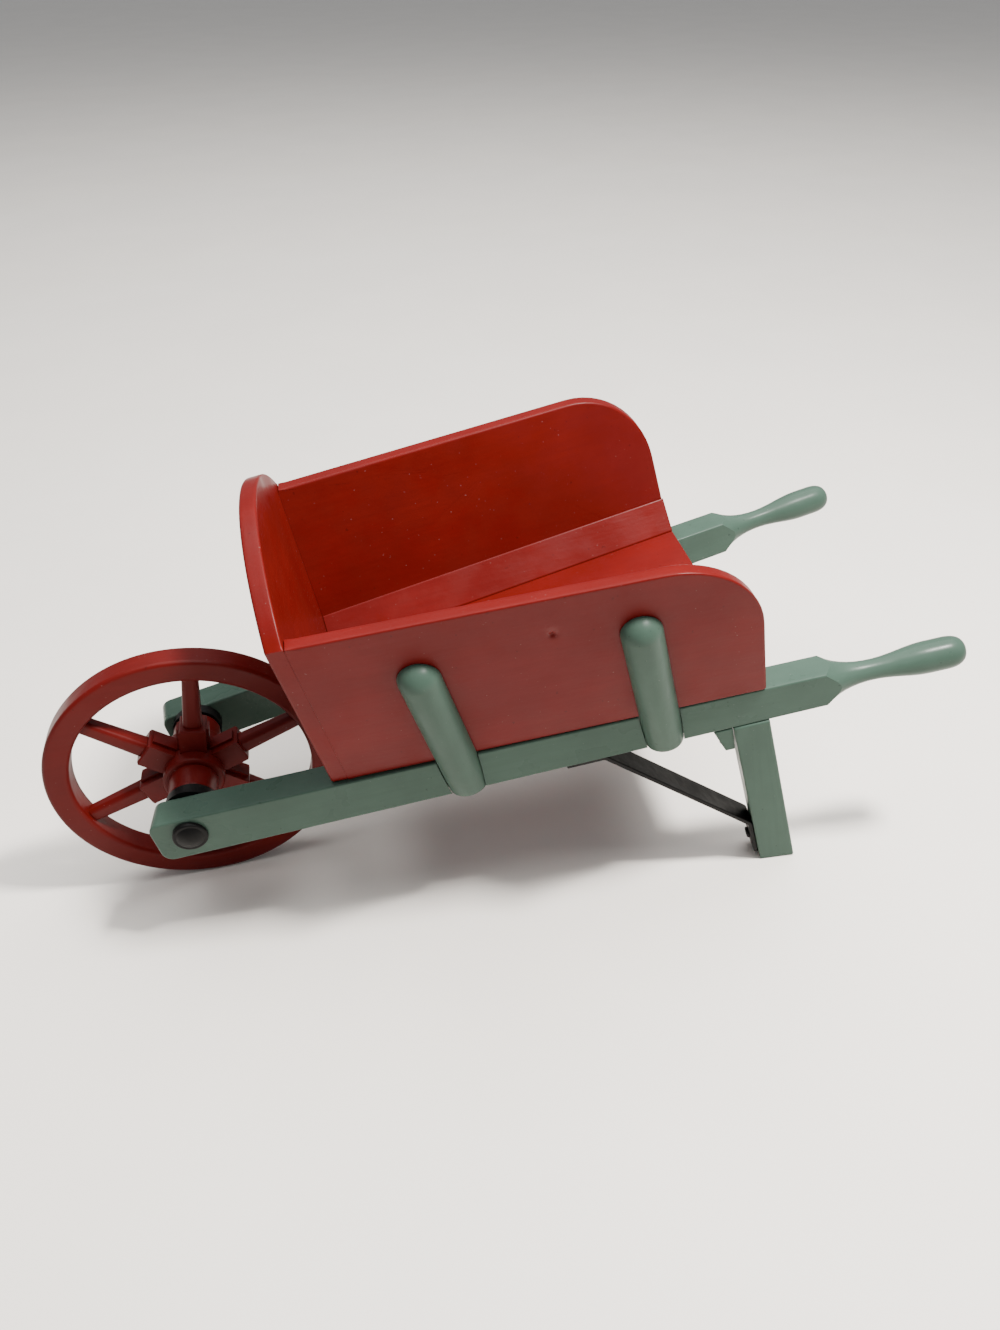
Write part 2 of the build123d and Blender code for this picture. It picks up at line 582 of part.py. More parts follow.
stake_screw_places = [stake_screw_place(along) for along in stake_places.values()]
leg_screw_place = shaft_frame * Location((leg_place + LEG_WIDTH * LEG_SCREW_SHARE, 0, 0))
brace_bend = leg_place - BRACE_REACH
brace_start = brace_bend - BRACE_UPPER_LAP
ground_depth = DECK_ABOVE_AXLE + (
    WHEEL_RADIUS / math.cos(math.radians(PITCH))
    + leg_place * math.cos(math.radians(TOE)) * math.tan(math.radians(PITCH))
)
brace_foot = ground_depth - BRACE_LIFT
brace_drop = brace_foot - BRACE_LOWER_LAP
brace_middle = (brace_start + brace_bend) / 2
brace_foot_depth = (brace_drop + brace_foot) / 2 + BRACE_SCREW_LOW
underside_angle = math.degrees(math.atan(underside_slope))
# each brace screw stands square to the face under its strap, its head on the strap
brace_screw_seat = Pos(0, 0, BRACE_THICK + 2 * GLUE_GAP)
brace_screw_places = [
    shaft_frame
    * Location((brace_middle, 0, -shaft_underside(brace_middle)))
    * Rot(0, 180 - underside_angle, 0)
    * brace_screw_seat,
    shaft_frame
    * Location((leg_front(brace_foot_depth), 0, -brace_foot_depth))
    * Rot(0, -90 - LEG_RAKE, 0)
    * brace_screw_seat,
]
leg_corner = (leg_place * math.cos(math.radians(TOE))
              - (SHAFT_THICK / 2 + LEG_PROUD) * math.sin(math.radians(TOE)))
bar_rear = leg_corner - GLUE_GAP
bar_top = shaft_underside((bar_rear - BAR_THICK) / math.cos(math.radians(TOE))) + GLUE_GAP
bar_along = bar_rear - (BAR_THICK - BAR_BEVEL) / 2
bar_across = shaft_centre + toe_slope * bar_along
bar_screw_place = (
    deck * Location((bar_along, -bar_across, -bar_top - BAR_HEIGHT)) * Rot(180, 0, 0)
)


def nail_place(height):
    """Nail through the front board into the end of the left side board."""
    half = inner_half_width(tray_front, height) + BOARD_THICK * board_slant / 2
    across = -(half + tray_slope * BOARD_THICK)
    return Location((tray_front, across, height)) * Rot(0, 0, -TRAY_TOE) * Rot(0, -90, 0)


nail_places = [nail_place(height) for height in NAIL_HEIGHTS]


def nail_hole():
    """Hole for a nail, from the front board's face inwards."""
    depth = NAIL_LENGTH + TENON_END_GAP
    return Pos(0, 0, -depth / 2) * Cylinder(NAIL_RADIUS + HOLE_GAP, depth)


def make_nail():
    """Headless nail, set just under the surface."""
    return Pos(0, 0, -NAIL_LENGTH / 2 - HOLE_GAP) * Cylinder(NAIL_RADIUS, NAIL_LENGTH - 2 * HOLE_GAP)


# ---------------------------------------------------------------- the barrow
def both(name, left_piece):
    """A left piece and its mirror image, as two nodes."""
    return {f"left_{name}": left_piece, f"right_{name}": right_of(left_piece)}


def both_together(pieces):
    """Identical fasteners on both sides, as separate solids in one node."""
    return Compound(children=[solid for piece in pieces for shape in (piece, right_of(piece))
                              for solid in shape.solids()])


def main():
    """Build every piece, centre the barrow over the origin and write one file for each."""
    nodes = {}
    left_shaft = make_left_shaft()
    nodes.update(both("shaft", left_shaft))
    nodes.update(both("leg", make_left_leg()))
    nodes.update(both("brace", make_left_brace()))
    nodes.update(both("side_board", make_left_side()))
    nodes.update(both("corner_strip", make_left_strip()))
    for name, place in stake_places.items():
        nodes.update(both(f"{name}_stake", make_left_stake(place)))
    nodes.update(both("axle_cap", make_left_cap()))
    nodes.update(both("hub_washer", make_left_washer()))
    nodes["cross_bar"] = make_cross_bar()
    nodes["tray_floor"] = make_floor()
    nodes["front_board"] = make_front_board()
    nodes["axle"] = make_axle()
    nodes["wheel_hub"] = make_hub()
    nodes["wheel_rim"] = make_rim()
    for number, angle in enumerate(spoke_angles, start=1):
        nodes[f"spoke_{number}"] = make_spoke(angle)
    nodes["tray_screws"] = both_together(
        [place * sunk_screw(tray_screw_reach, tray_screw_sink) for place in tray_screw_places]
    )
    nodes["stake_screws"] = both_together(
        [place * screw(stake_screw_length) for place in stake_screw_places]
    )
    nodes["leg_screws"] = both_together([leg_screw_place * sunk_screw(leg_screw_length, 0)])
    nodes["brace_screws"] = both_together(
        [place * screw(BRACE_SCREW_LENGTH) for place in brace_screw_places]
    )
    nodes["cross_bar_screws"] = both_together([bar_screw_place * screw(bar_screw_length)])
    nodes["front_board_nails"] = both_together([deck * place * make_nail() for place in nail_places])

    front = nodes["wheel_rim"].bounding_box().min.X
    rear = left_shaft.bounding_box().max.X
    centred = Pos(-(front + rear) / 2, 0, 0)
    os.makedirs("parts", exist_ok=True)
    for name, shape in nodes.items():
        export_step(centred * shape, f"parts/{name}.step")
        print(name, len(shape.solids()), round(shape.volume, 1))


main()
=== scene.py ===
import json
import math

import bpy
import numpy as np
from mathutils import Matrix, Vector


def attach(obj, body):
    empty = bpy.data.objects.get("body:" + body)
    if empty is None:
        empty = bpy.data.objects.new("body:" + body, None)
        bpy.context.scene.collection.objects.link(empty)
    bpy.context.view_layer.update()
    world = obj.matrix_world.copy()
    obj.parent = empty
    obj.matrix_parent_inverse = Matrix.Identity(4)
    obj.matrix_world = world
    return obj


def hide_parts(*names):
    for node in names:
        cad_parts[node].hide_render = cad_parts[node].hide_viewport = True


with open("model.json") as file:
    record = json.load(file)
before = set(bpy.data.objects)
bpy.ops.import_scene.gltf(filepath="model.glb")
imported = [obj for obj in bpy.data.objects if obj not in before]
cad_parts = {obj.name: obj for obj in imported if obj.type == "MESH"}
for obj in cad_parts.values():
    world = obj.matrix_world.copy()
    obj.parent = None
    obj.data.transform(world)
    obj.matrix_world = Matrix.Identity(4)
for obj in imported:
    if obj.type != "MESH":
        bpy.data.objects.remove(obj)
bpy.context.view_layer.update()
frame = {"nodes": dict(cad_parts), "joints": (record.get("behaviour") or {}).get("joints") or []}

bl_info = {
    "name": "Painted wooden wheelbarrow",
    "version": (1, 0, 0),
    "blender": (4, 5, 0),
    "location": "3D View > Sidebar > Barrow",
    "description": "Builds the painted surfaces of a small wooden wheelbarrow on its fixed frame",
    "category": "Add Mesh",
}

# The barrow stands on z = 0 with its wheel towards -X. Sizes are in metres, angles in radians.
# "Deck" coordinates: x up along the tray floor from above the axle, z = 0 at the shafts' top.
AXLE = np.array(frame["joints"][0]["pos_m"])
GLUE_GAP = 0.00004  # between faces that touch
PAINTED_JOINT = 0.00008  # edge radius where paint fills a joint
SAWN_CORNER = 0.0004  # corner radius of small sawn pieces
BOARD_CORNER = 0.0012  # corner radius at the boards' feet
PLANED_WAVE = 0.00006  # depth of the planing marks
RIM_WAVER = 0.00008  # half the depth of the rim's waver
FACE_SHARES = (0.12, 0.3, 0.48, 0.64, 0.78, 0.88, 0.95)  # a face's rings, from its middle out
POLE_SHARES = (0.004, 0.008, 0.012, 0.017, 0.023, 0.030, 0.040, 0.055, 0.08)  # round a mark
ALONG_Y = (0.0, 0.0, math.pi / 2)  # turns a paint's grain across the barrow


# ---- sizes and colours
def length(label, text, value):
    """A distance that a user may change."""
    return bpy.props.FloatProperty(
        name=label, description=text, default=value, min=0.0, subtype="DISTANCE", unit="LENGTH"
    )


def angle(label, text, degrees):
    """An angle that a user may change, given in degrees and kept in radians."""
    return bpy.props.FloatProperty(
        name=label,
        description=text,
        default=math.radians(degrees),
        subtype="ANGLE",
        unit="ROTATION",
    )


def share(label, text, value):
    """A number without a unit."""
    return bpy.props.FloatProperty(name=label, description=text, default=value)


def colour(label, text, value):
    """A linear colour."""
    return bpy.props.FloatVectorProperty(
        name=label, description=text, default=value, size=3, min=0.0, max=1.0, subtype="COLOR"
    )


class FrameSizes(bpy.types.PropertyGroup):
    pitch: angle("Pitch", "Shafts rise towards the grips", 8.5)
    toe: angle("Toe", "Each shaft turns in towards the wheel", 6.2)
    deck_height: length("Deck height", "Axle to the shafts' top faces", 0.009)
    half_spread: length("Half spread", "Middle to a shaft's outer face, at the axle", 0.047)
    shaft_thick: length("Shaft thickness", "Across a shaft", 0.0155)
    depth_front: length("Shaft depth, front", "Top to underside at the axle", 0.022)
    underside_slope: share("Underside slope", "Fall of the depth along the shaft", 0.0035 / 0.289)
    leg_ahead: length("Leg ahead", "Leg's front face ahead of the tray's rear end", 0.0145)
    leg_width: length("Leg width", "Along the shaft", 0.0172)
    leg_thick: length("Leg thickness", "Across the shaft", 0.014)
    leg_rake: angle("Leg rake", "Foot towards the rear, from square to the shaft", 3.7)
    leg_proud: length("Leg proud", "Leg's outer face beyond the shaft's", 0.0008)
    bar_thick: length("Bar thickness", "Cross bar, along the shafts", 0.009)
    bar_bevel: length("Bar bevel", "How far its front face slopes back", 0.0045)
    bar_height: length("Bar height", "Cross bar, top to underside", 0.013)
    edge: length("Edge", "Rounding of the sawn edges under the paint", 0.0009)


class TraySizes(bpy.types.PropertyGroup):
    front: length("Front", "Axle to the front board", 0.065464)
    reach: length("Length", "Front board to the boards' rear ends", 0.195)
    half_front: length("Half width", "Of the tray's foot, carried forward to the axle", 0.0438)
    toe: angle("Toe", "Each side board turns in towards the wheel", 7.0)
    flare: share("Flare", "The sides lean out by this for each unit of height", 0.21)
    board: length("Board", "Thickness of front and side boards", 0.0074)
    floor: length("Floor", "Thickness of the floor", 0.006)
    height_front: length("Front height", "Of the side boards", 0.0865)
    height_rear: length("Rear height", "Of the side boards", 0.0825)
    rear_lean: length("Rear lean", "Rear end leans forward at the top", 0.002)
    rear_radius: length("Rear radius", "Round corner at the top rear", 0.040)
    arch: length("Arch", "Front board's middle above the sides' top", 0.029)
    strip_width: length("Strip width", "Corner strip, across the floor", 0.009)
    strip_height: length("Strip height", "Corner strip, up the side", 0.016)
    dent_along: length("Dent along", "Front board to the dent in the left board", 0.1075)
    dent_height: length("Dent height", "Deck to the dent", 0.064)
    dent_radius: length("Dent radius", "Reach of the dent", 0.0015)
    dent_depth: length("Dent depth", "Depth of the dent", 0.0012)
    edge: length("Edge", "Rounding of the boards' edges", 0.0010)
    stake_radius: length("Stake radius", "Half-round stake", 0.0090)
    stake_reach: length("Stake reach", "Deck to the top of the dome, up the board", 0.0655)
    stake_lean: angle("Stake lean", "Tops lean towards the wheel", 2.2)
    front_stake: length("Front stake", "Front board to the front stakes", 0.0553)
    rear_stake: length("Rear stake", "Rear ends to the rear stakes", 0.0489)


class WheelSizes(bpy.types.PropertyGroup):
    radius: length("Radius", "Centre to tread", 0.064)
    rim_depth: length("Rim depth", "Tread to the inside of the rim", 0.0112)
    rim_width: length("Rim width", "Across the tread", 0.0128)
    rim_edge: length("Rim edge", "Rounding of the rim", 0.0019)
    spokes: bpy.props.IntProperty(name="Spokes", description="Number of spokes", default=6, min=3)
    turn: angle("Turn", "First spoke from upright, towards the grips", 10.0)
    spoke_hub: length("Spoke at hub", "Width", 0.0083)
    spoke_rim: length("Spoke at rim", "Width", 0.0070)
    socket_reach: length("Socket reach", "Axle to the end of the sockets", 0.025)
    cap_radius: length("Cap radius", "Black cap on the axle's end", 0.0074)
    cap_dome: length("Cap dome", "Height of its crown", 0.0020)
    cap_stand: length("Cap stand", "Shaft face to its shoulder", 0.0024)


class IronSizes(bpy.types.PropertyGroup):
    thick: length("Thickness", "Of the straps", 0.0022)
    width: length("Width", "Of the straps", 0.013)
    reach: length("Reach", "Leg to the upper bend", 0.0595)
    upper_lap: length("Upper lap", "Length under the shaft", 0.0185)
    lower_lap: length("Lower lap", "Length down the leg", 0.021)
    lift: length("Lift", "Ground to the lower end", 0.0034)
    bend: length("Bend", "Inner radius of the bends", 0.0030)


class PaintColours(bpy.types.PropertyGroup):
    tray_red: colour("Tray red", "Barn red of the tray", (0.112, 0.0050, 0.0040))
    wheel_red: colour("Wheel red", "Darker red of the wheel", (0.088, 0.0045, 0.0036))
    sage: colour("Sage green", "Shafts, legs and stakes", (0.050, 0.086, 0.066))
    iron_black: colour("Iron black", "Straps, caps and washers", (0.0050, 0.0048, 0.0048))
    steel: colour("Steel", "Screws and axle", (0.42, 0.42, 0.43))
    table: colour("Table", "Pale floor", (0.90, 0.855, 0.80))


GROUPS = {
    "barrow_frame": FrameSizes,
    "barrow_tray": TraySizes,
    "barrow_wheel": WheelSizes,
    "barrow_iron": IronSizes,
    "barrow_paint": PaintColours,
}


def settings(name):
    """One of the property groups above."""
    return getattr(bpy.context.scene, name)


# ---- frames
def turn(axis, by):
    """3 x 3 matrix that turns by that angle about coordinate axis 0, 1 or 2."""
    c, s = math.cos(by), math.sin(by)
    a, b = [(1, 2), (2, 0), (0, 1)][axis]
    m = np.eye(3)
    m[a, a] = m[b, b] = c
    m[a, b], m[b, a] = -s, s
    return m


def from_deck(points):
    """Deck coordinates to the barrow's own: a pitch about the axle, after a lift to deck height."""
    f = settings("barrow_frame")
    lifted = points + np.array([0.0, 0.0, f.deck_height])
    return lifted @ turn(1, -f.pitch).T + AXLE


def shaft_centre():
    """Deck distance from the middle to a shaft's middle line, at the axle."""
    f = settings("barrow_frame")
    return f.half_spread - f.shaft_thick / 2 / math.cos(f.toe)


def from_shaft(points):
    """Left shaft's coordinates (x along it, y across, z up from its top) to the barrow's own."""
    f = settings("barrow_frame")
    turned = points @ turn(2, -f.toe).T + np.array([0.0, -shaft_centre(), 0.0])
    return from_deck(turned)


def underside(along):
    """Depth of a shaft below its top face."""
    f = settings("barrow_frame")
    return f.depth_front - f.underside_slope * along


def mirrored(points):
    """The same points on the other side of the barrow."""
    return points * np.array([1.0, -1.0, 1.0])


def tray_rear():
    """Axle to the boards' rear ends."""
    t = settings("barrow_tray")
    return t.front + t.reach


def board_y(x, z, inset):
    """Deck y of the left board's outer face moved inwards by inset, measured square to the face."""
    t = settings("barrow_tray")
    slant = math.sqrt(1 + math.tan(t.toe) ** 2 + t.flare**2)
    return -(t.half_front + math.tan(t.toe) * x + t.flare * z - inset * slant)


# ---- outlines
def arc_between(a, b, sweep, count):
    """Points of an arc from a to b about the origin, the sweep apart, evenly spaced by angle."""
    w = np.linspace(0, 1, count)[:, None]
    return (np.sin((1 - w) * sweep) * a + np.sin(w * sweep) * b) / math.sin(sweep)


def rounded_outline(corners, radii, step):
    """Closed planar outline: straight runs between tangent arcs, one arc of its own radius at each
    corner, sampled about every step along the runs and every few degrees round the arcs."""
    corners = np.asarray(corners, float)
    radii = np.broadcast_to(radii, len(corners))
    before = np.roll(corners, 1, axis=0) - corners
    after = np.roll(corners, -1, axis=0) - corners
    before /= np.linalg.norm(before, axis=1)[:, None]
    after /= np.linalg.norm(after, axis=1)[:, None]
    half = np.arccos(np.clip((before * after).sum(1), -1, 1)) / 2
    tangent = radii / np.tan(half)
    starts = corners + before * tangent[:, None]
    ends = corners + after * tangent[:, None]
    middle = before + after
    middle /= np.linalg.norm(middle, axis=1)[:, None]
    centres = corners + middle * (radii / np.sin(half))[:, None]
    pieces = []
    next_starts = np.roll(starts, -1, axis=0)
    for start, end, centre, radius, following in zip(starts, ends, centres, radii, next_starts):
        a, b = start - centre, end - centre
        sweep = math.acos(np.clip(a @ b / radius**2, -1, 1))
        pieces.append(centre + arc_between(a, b, sweep, max(5, int(math.degrees(sweep) / 6))))
        count = max(2, int(np.linalg.norm(following - end) / step))
        pieces.append(end + (following - end) * np.linspace(0, 1, count + 1)[1:-1, None])
    return np.concatenate(pieces)


def resampled(loop, count):
    """A closed loop as count points, evenly spaced along its length."""
    closed = np.vstack([loop, loop[:1]])
    at = np.concatenate([[0], np.cumsum(np.linalg.norm(np.diff(closed, axis=0), axis=1))])
    want = np.linspace(0, at[-1], count, endpoint=False)
    return np.stack([np.interp(want, at, closed[:, k]) for k in range(closed.shape[1])], axis=1)


# ---- surfaces
def closed_tube(rings):
    """Vertices, quads and triangles of a surface given as rings of points: quads between
    neighbouring rings, and a fan to the middle of the first and of the last ring."""
    rows, columns, _ = rings.shape
    vertices = np.vstack([rings.reshape(-1, 3), rings[0].mean(0), rings[-1].mean(0)])
    i = np.arange(rows - 1)[:, None] * columns
    j = np.arange(columns)[None, :]
    k = (j + 1) % columns
    quads = np.stack([i + j, i + k, i + columns + k, i + columns + j], axis=-1).reshape(-1, 4)
    j, k = j[0], k[0]
    first = np.stack([np.full(columns, rows * columns), k, j], axis=-1)
    last_ring = (rows - 1) * columns
    last = np.stack([np.full(columns, rows * columns + 1), last_ring + j, last_ring + k], axis=-1)
    return vertices, quads, np.vstack([first, last])


def closed_ring(rings):
    """Vertices and quads of a surface that closes on itself both ways, as a rim does."""
    rows, columns, _ = rings.shape
    i = np.arange(rows)[:, None]
    j = np.arange(columns)[None, :]
    k, m = (j + 1) % columns, (i + 1) % rows
    corners = [i * columns + j, i * columns + k, m * columns + k, m * columns + j]
    quads = np.stack(np.broadcast_arrays(*corners), axis=-1).reshape(-1, 4)
    return rings.reshape(-1, 3), quads, np.empty((0, 3), int)


def put_piece(name, surface, body, node, material, sharp_from=50.0):
    """Make one closed piece of a surface's vertices, quads and triangles, on its body and in its
    CAD node's place. All faces are turned over if the volume inside them comes out negative. Edges
    are sharp from that angle in degrees, and all smooth at 180."""
    vertices, quads, fans = surface
    triangles = np.vstack([quads[:, :3], quads[:, [0, 2, 3]], fans])
    a, b, c = (vertices[triangles[:, n]] for n in range(3))
    if np.einsum("ij,ij->i", a, np.cross(b, c)).sum() < 0:
        quads, fans = quads[:, ::-1], fans[:, ::-1]
    mesh = bpy.data.meshes.new(name)
    loops = np.concatenate([quads.ravel(), fans.ravel()]).astype(np.int32)
    sizes = np.concatenate([np.full(len(quads), 4), np.full(len(fans), 3)])
    starts = np.concatenate([[0], np.cumsum(sizes)[:-1]]).astype(np.int32)
    mesh.vertices.add(len(vertices))
    mesh.loops.add(len(loops))
    mesh.polygons.add(len(sizes))
    mesh.vertices.foreach_set("co", vertices.astype(np.float32).ravel())
    mesh.loops.foreach_set("vertex_index", loops)
    mesh.polygons.foreach_set("loop_start", starts)
    mesh.update(calc_edges=True)
    mesh.validate()
    mesh.shade_smooth()
    if sharp_from < 180.0:
        mesh.set_sharp_from_angle(angle=math.radians(sharp_from))
    mesh.materials.append(material)
    piece = bpy.data.objects.new(name, mesh)
    bpy.context.scene.collection.objects.link(piece)
    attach(piece, body)
    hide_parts(node)


def put_fixed(node, made, rings, material, sharp_from=50.0):
    """Make one piece of the frame body from its rings, named after its node and how it is made."""
    put_piece(f"{node}_{made}", closed_tube(rings), "frame", node, material, sharp_from)


def put_pair(node, made, rings, material, sharp_from=50.0):
    """Make the left piece of a pair from its rings, and its mirror image on the right."""
    put_fixed(f"left_{node}", made, rings, material, sharp_from)
    put_fixed(f"right_{node}", made, mirrored(rings), material, sharp_from)


def plank(front, back, edge, back_edge=None, wave=0.0, seed=0, pole=None):
    """Rings of a plank between two matching closed outlines, with its edges rounded.

    Over each face the outline shrinks towards the pole where one is given, and otherwise towards
    its middle. Round the edge the inset follows edge * (1 - sin a) and the depth
    edge * (1 - cos a), and between the edges it runs straight. An edge may be one radius or a
    radius for each point. A slow sum of sines moves the faces inwards by up to wave."""
    shares = FACE_SHARES if pole is None else POLE_SHARES + FACE_SHARES
    shrink = np.array(shares)[:, None, None]
    turns = np.linspace(0, math.pi / 2, 6)[:, None, None]

    def half(outer, other, radius):
        rolled = np.roll(outer, -1, axis=0)
        normal = np.cross(outer - outer.mean(0), rolled - outer.mean(0)).sum(0)
        normal /= np.linalg.norm(normal)
        run = rolled - np.roll(outer, 1, axis=0)
        run /= np.linalg.norm(run, axis=1)[:, None]
        inward = np.cross(normal, run)
        through = other - outer
        through /= np.linalg.norm(through, axis=1)[:, None]
        middle = outer.mean(0)
        if pole is not None:
            middle = pole + normal * ((middle - pole) @ normal)
        radius = np.broadcast_to(radius, len(outer))[:, None]
        flat = outer + inward * radius
        before_edge = outer + inward * radius * 1.35
        roll = inward * (1 - np.sin(turns)) + through * (1 - np.cos(turns))
        face = middle + (flat - middle) * shrink
        return np.concatenate([face, before_edge[None], outer + roll * radius])

    one = half(front, back, edge)
    two = half(back, front, edge if back_edge is None else back_edge)[::-1]
    straight = one[-1] + (two[0] - one[-1]) * np.array([0.25, 0.5, 0.75])[:, None, None]
    rings = np.concatenate([one, straight, two])
    return rings + hand_waves(rings, front, back, wave, seed)


def lengthened(rings, count):
    """A plank's rings with count even ones in place of the three of its straight part."""
    middle = len(rings) // 2
    before, after = rings[middle - 2], rings[middle + 2]
    runs = np.linspace(0, 1, count + 2)[1:-1, None, None]
    straight = before + (after - before) * runs
    return np.concatenate([rings[: middle - 1], straight, rings[middle + 2 :]])


def eased(value, low, high):
    """0 below low, 1 above high, and 3 w squared - 2 w cubed between them."""
    w = np.clip((value - low) / (high - low), 0, 1)
    return w * w * (3 - 2 * w)


def hand_waves(points, front, back, size, seed):
    """Sum of three slow sines over the piece, pointing through it, no larger than size, that never
    pushes a face outwards. The seed is the sines' phase."""
    through = (front - back).mean(0)
    through /= np.linalg.norm(through)
    middle = (front.mean(0) + back.mean(0)) / 2
    local = points - middle
    total = sum(
        np.sin(local @ np.array([40.0 * n, 31.0 * n, 53.0 / n]) + seed + n * n) for n in (1, 2, 3)
    )
    side = np.sign(local @ through)
    depth = size * (total / 3 - 1) / 2
    return (depth * side)[..., None] * through


def carried(profile, path, across, up, sizes=None):
    """Rings of a closed profile carried along a path: at each station the profile's two
    coordinates run along the across and up vectors given for it, times that station's size."""
    if sizes is None:
        sizes = np.ones(len(path))
    a = profile[None, :, 0, None] * across[:, None, :]
    b = profile[None, :, 1, None] * up[:, None, :]
    return path[:, None, :] + (a + b) * sizes[:, None, None]


def turned(profile, count, axis_point):
    """Rings of a turned piece: a profile of (distance along y, radius) spun about an axis."""
    around = np.linspace(0, 2 * math.pi, count, endpoint=False)
    y = np.broadcast_to(profile[:, :1], (len(profile), count))
    x = profile[:, 1:] * np.cos(around)
    z = profile[:, 1:] * np.sin(around)
    return np.stack([x, y, z], axis=-1) + axis_point


# ---- materials
def new_material(name):
    """A node material, its tree, its shader and the object coordinates in it."""
    material = bpy.data.materials.new(name)
    material.use_nodes = True
    tree = material.node_tree
    here = tree.nodes.new("ShaderNodeTexCoord").outputs["Object"]
    return material, tree, tree.nodes["Principled BSDF"], here


def add(tree, kind, **values):
    """A node of that kind with its properties and input values set."""
    node = tree.nodes.new(kind)
    for key, value in values.items():
        if hasattr(node, key):
            setattr(node, key, value)
        else:
            node.inputs[key.replace("_", " ")].default_value = value
    return node


def noise(tree, vector, scale, detail=3.0, roughness=0.55):
    """A noise texture read along that vector."""
    node = add(tree, "ShaderNodeTexNoise", Scale=scale, Detail=detail, Roughness=roughness)
    tree.links.new(vector, node.inputs["Vector"])
    return node.outputs["Fac"]


def ranged(tree, value, low, high, to_low, to_high):
    """That value moved from one range to another, clamped, with smooth ends."""
    node = add(tree, "ShaderNodeMapRange", interpolation_type="SMOOTHSTEP")
    ends = {"From Min": low, "From Max": high, "To Min": to_low, "To Max": to_high}
    for key, number in ends.items():
        node.inputs[key].default_value = number
    tree.links.new(value, node.inputs["Value"])
    return node.outputs["Result"]


def mixed(tree, factor, first, second):
    """Colour mixed from first to second by a factor. Either may be a colour or a node's output."""
    node = add(tree, "ShaderNodeMix", data_type="RGBA")
    tree.links.new(factor, node.inputs[0])
    for socket, value in ((node.inputs[6], first), (node.inputs[7], second)):
        if isinstance(value, bpy.types.NodeSocket):
            tree.links.new(value, socket)
        else:
            socket.default_value = (*value, 1.0)
    return node.outputs[2]


def bumps(tree, shader, *layers):
    """Lay bumps over one another, undermost first: each a height, a strength and a distance."""
    normal = None
    for height, strength, distance in layers:
        bump = add(tree, "ShaderNodeBump", Strength=strength, Distance=distance)
        tree.links.new(height, bump.inputs["Height"])
        if normal:
            tree.links.new(normal, bump.inputs["Normal"])
        normal = bump.outputs["Normal"]
    tree.links.new(normal, shader.inputs["Normal"])


def shade(rgb, by):
    """A colour made lighter or darker."""
    return tuple(min(1.0, c * by) for c in rgb)


def paint(name, rgb, grain, gloss=0.36):
    """Semi-gloss brushed paint over wood.

    Colour: slow blotches, faint streaks along the grain, a few small dark specks and a little pale
    dust.
    Roughness: smears. Bump: brush marks along the grain, over them the raised wood grain and a
    fine orange peel. grain gives the three angles that turn the x axis to the grain."""
    material, tree, shader, here = new_material(name)
    to_grain = add(tree, "ShaderNodeMapping", vector_type="TEXTURE", Rotation=grain)
    tree.links.new(here, to_grain.inputs["Vector"])
    stretch = add(tree, "ShaderNodeMapping", Scale=(0.07, 1.0, 1.0))
    tree.links.new(to_grain.outputs[0], stretch.inputs["Vector"])
    along = stretch.outputs[0]
    blotch = ranged(tree, noise(tree, here, 22.0, 4.0), 0.35, 0.68, 0.0, 1.0)
    streak = ranged(tree, noise(tree, along, 330.0, 4.0, 0.6), 0.38, 0.66, 0.0, 1.0)
    base = mixed(tree, blotch, shade(rgb, 0.90), shade(rgb, 1.08))
    base = mixed(tree, ranged(tree, streak, 0.0, 1.0, 0.0, 0.22), base, shade(rgb, 0.80))
    speck = ranged(tree, noise(tree, here, 420.0, 1.0, 0.4), 0.755, 0.790, 0.0, 0.45)
    base = mixed(tree, speck, base, shade(rgb, 0.35))
    dust = ranged(tree, noise(tree, here, 900.0, 1.0, 0.4), 0.77, 0.81, 0.0, 0.10)
    base = mixed(tree, dust, base, (0.55, 0.52, 0.48))
    tree.links.new(base, shader.inputs["Base Color"])
    rough = ranged(tree, noise(tree, here, 55.0), 0.3, 0.7, gloss - 0.06, gloss + 0.09)
    tree.links.new(rough, shader.inputs["Roughness"])
    shader.inputs["Specular IOR Level"].default_value = 0.11
    brush = noise(tree, along, 520.0, 3.0, 0.6)
    wood = noise(tree, along, 120.0, 2.0, 0.5)
    peel = noise(tree, here, 480.0, 2.0, 0.5)
    bumps(tree, shader, (brush, 0.16, 0.00025), (wood, 0.20, 0.0006), (peel, 0.12, 0.0003))
    return material


def black_iron(name, rgb):
    """Satin black paint on forged iron: uneven sheen, hammered dimples, faint brown rubbing."""
    material, tree, shader, here = new_material(name)
    rub = ranged(tree, noise(tree, here, 160.0, 5.0, 0.65), 0.60, 0.74, 0.0, 0.55)
    base = mixed(tree, rub, rgb, (0.018, 0.014, 0.012))
    tree.links.new(base, shader.inputs["Base Color"])
    rough = ranged(tree, noise(tree, here, 90.0, 4.0), 0.3, 0.7, 0.34, 0.52)
    tree.links.new(rough, shader.inputs["Roughness"])
    shader.inputs["Specular IOR Level"].default_value = 0.10
    dimple = noise(tree, here, 210.0, 2.0, 0.5)
    grit = noise(tree, here, 1500.0, 2.0, 0.5)
    bumps(tree, shader, (dimple, 0.35, 0.0004), (grit, 0.15, 0.0001))
    return material


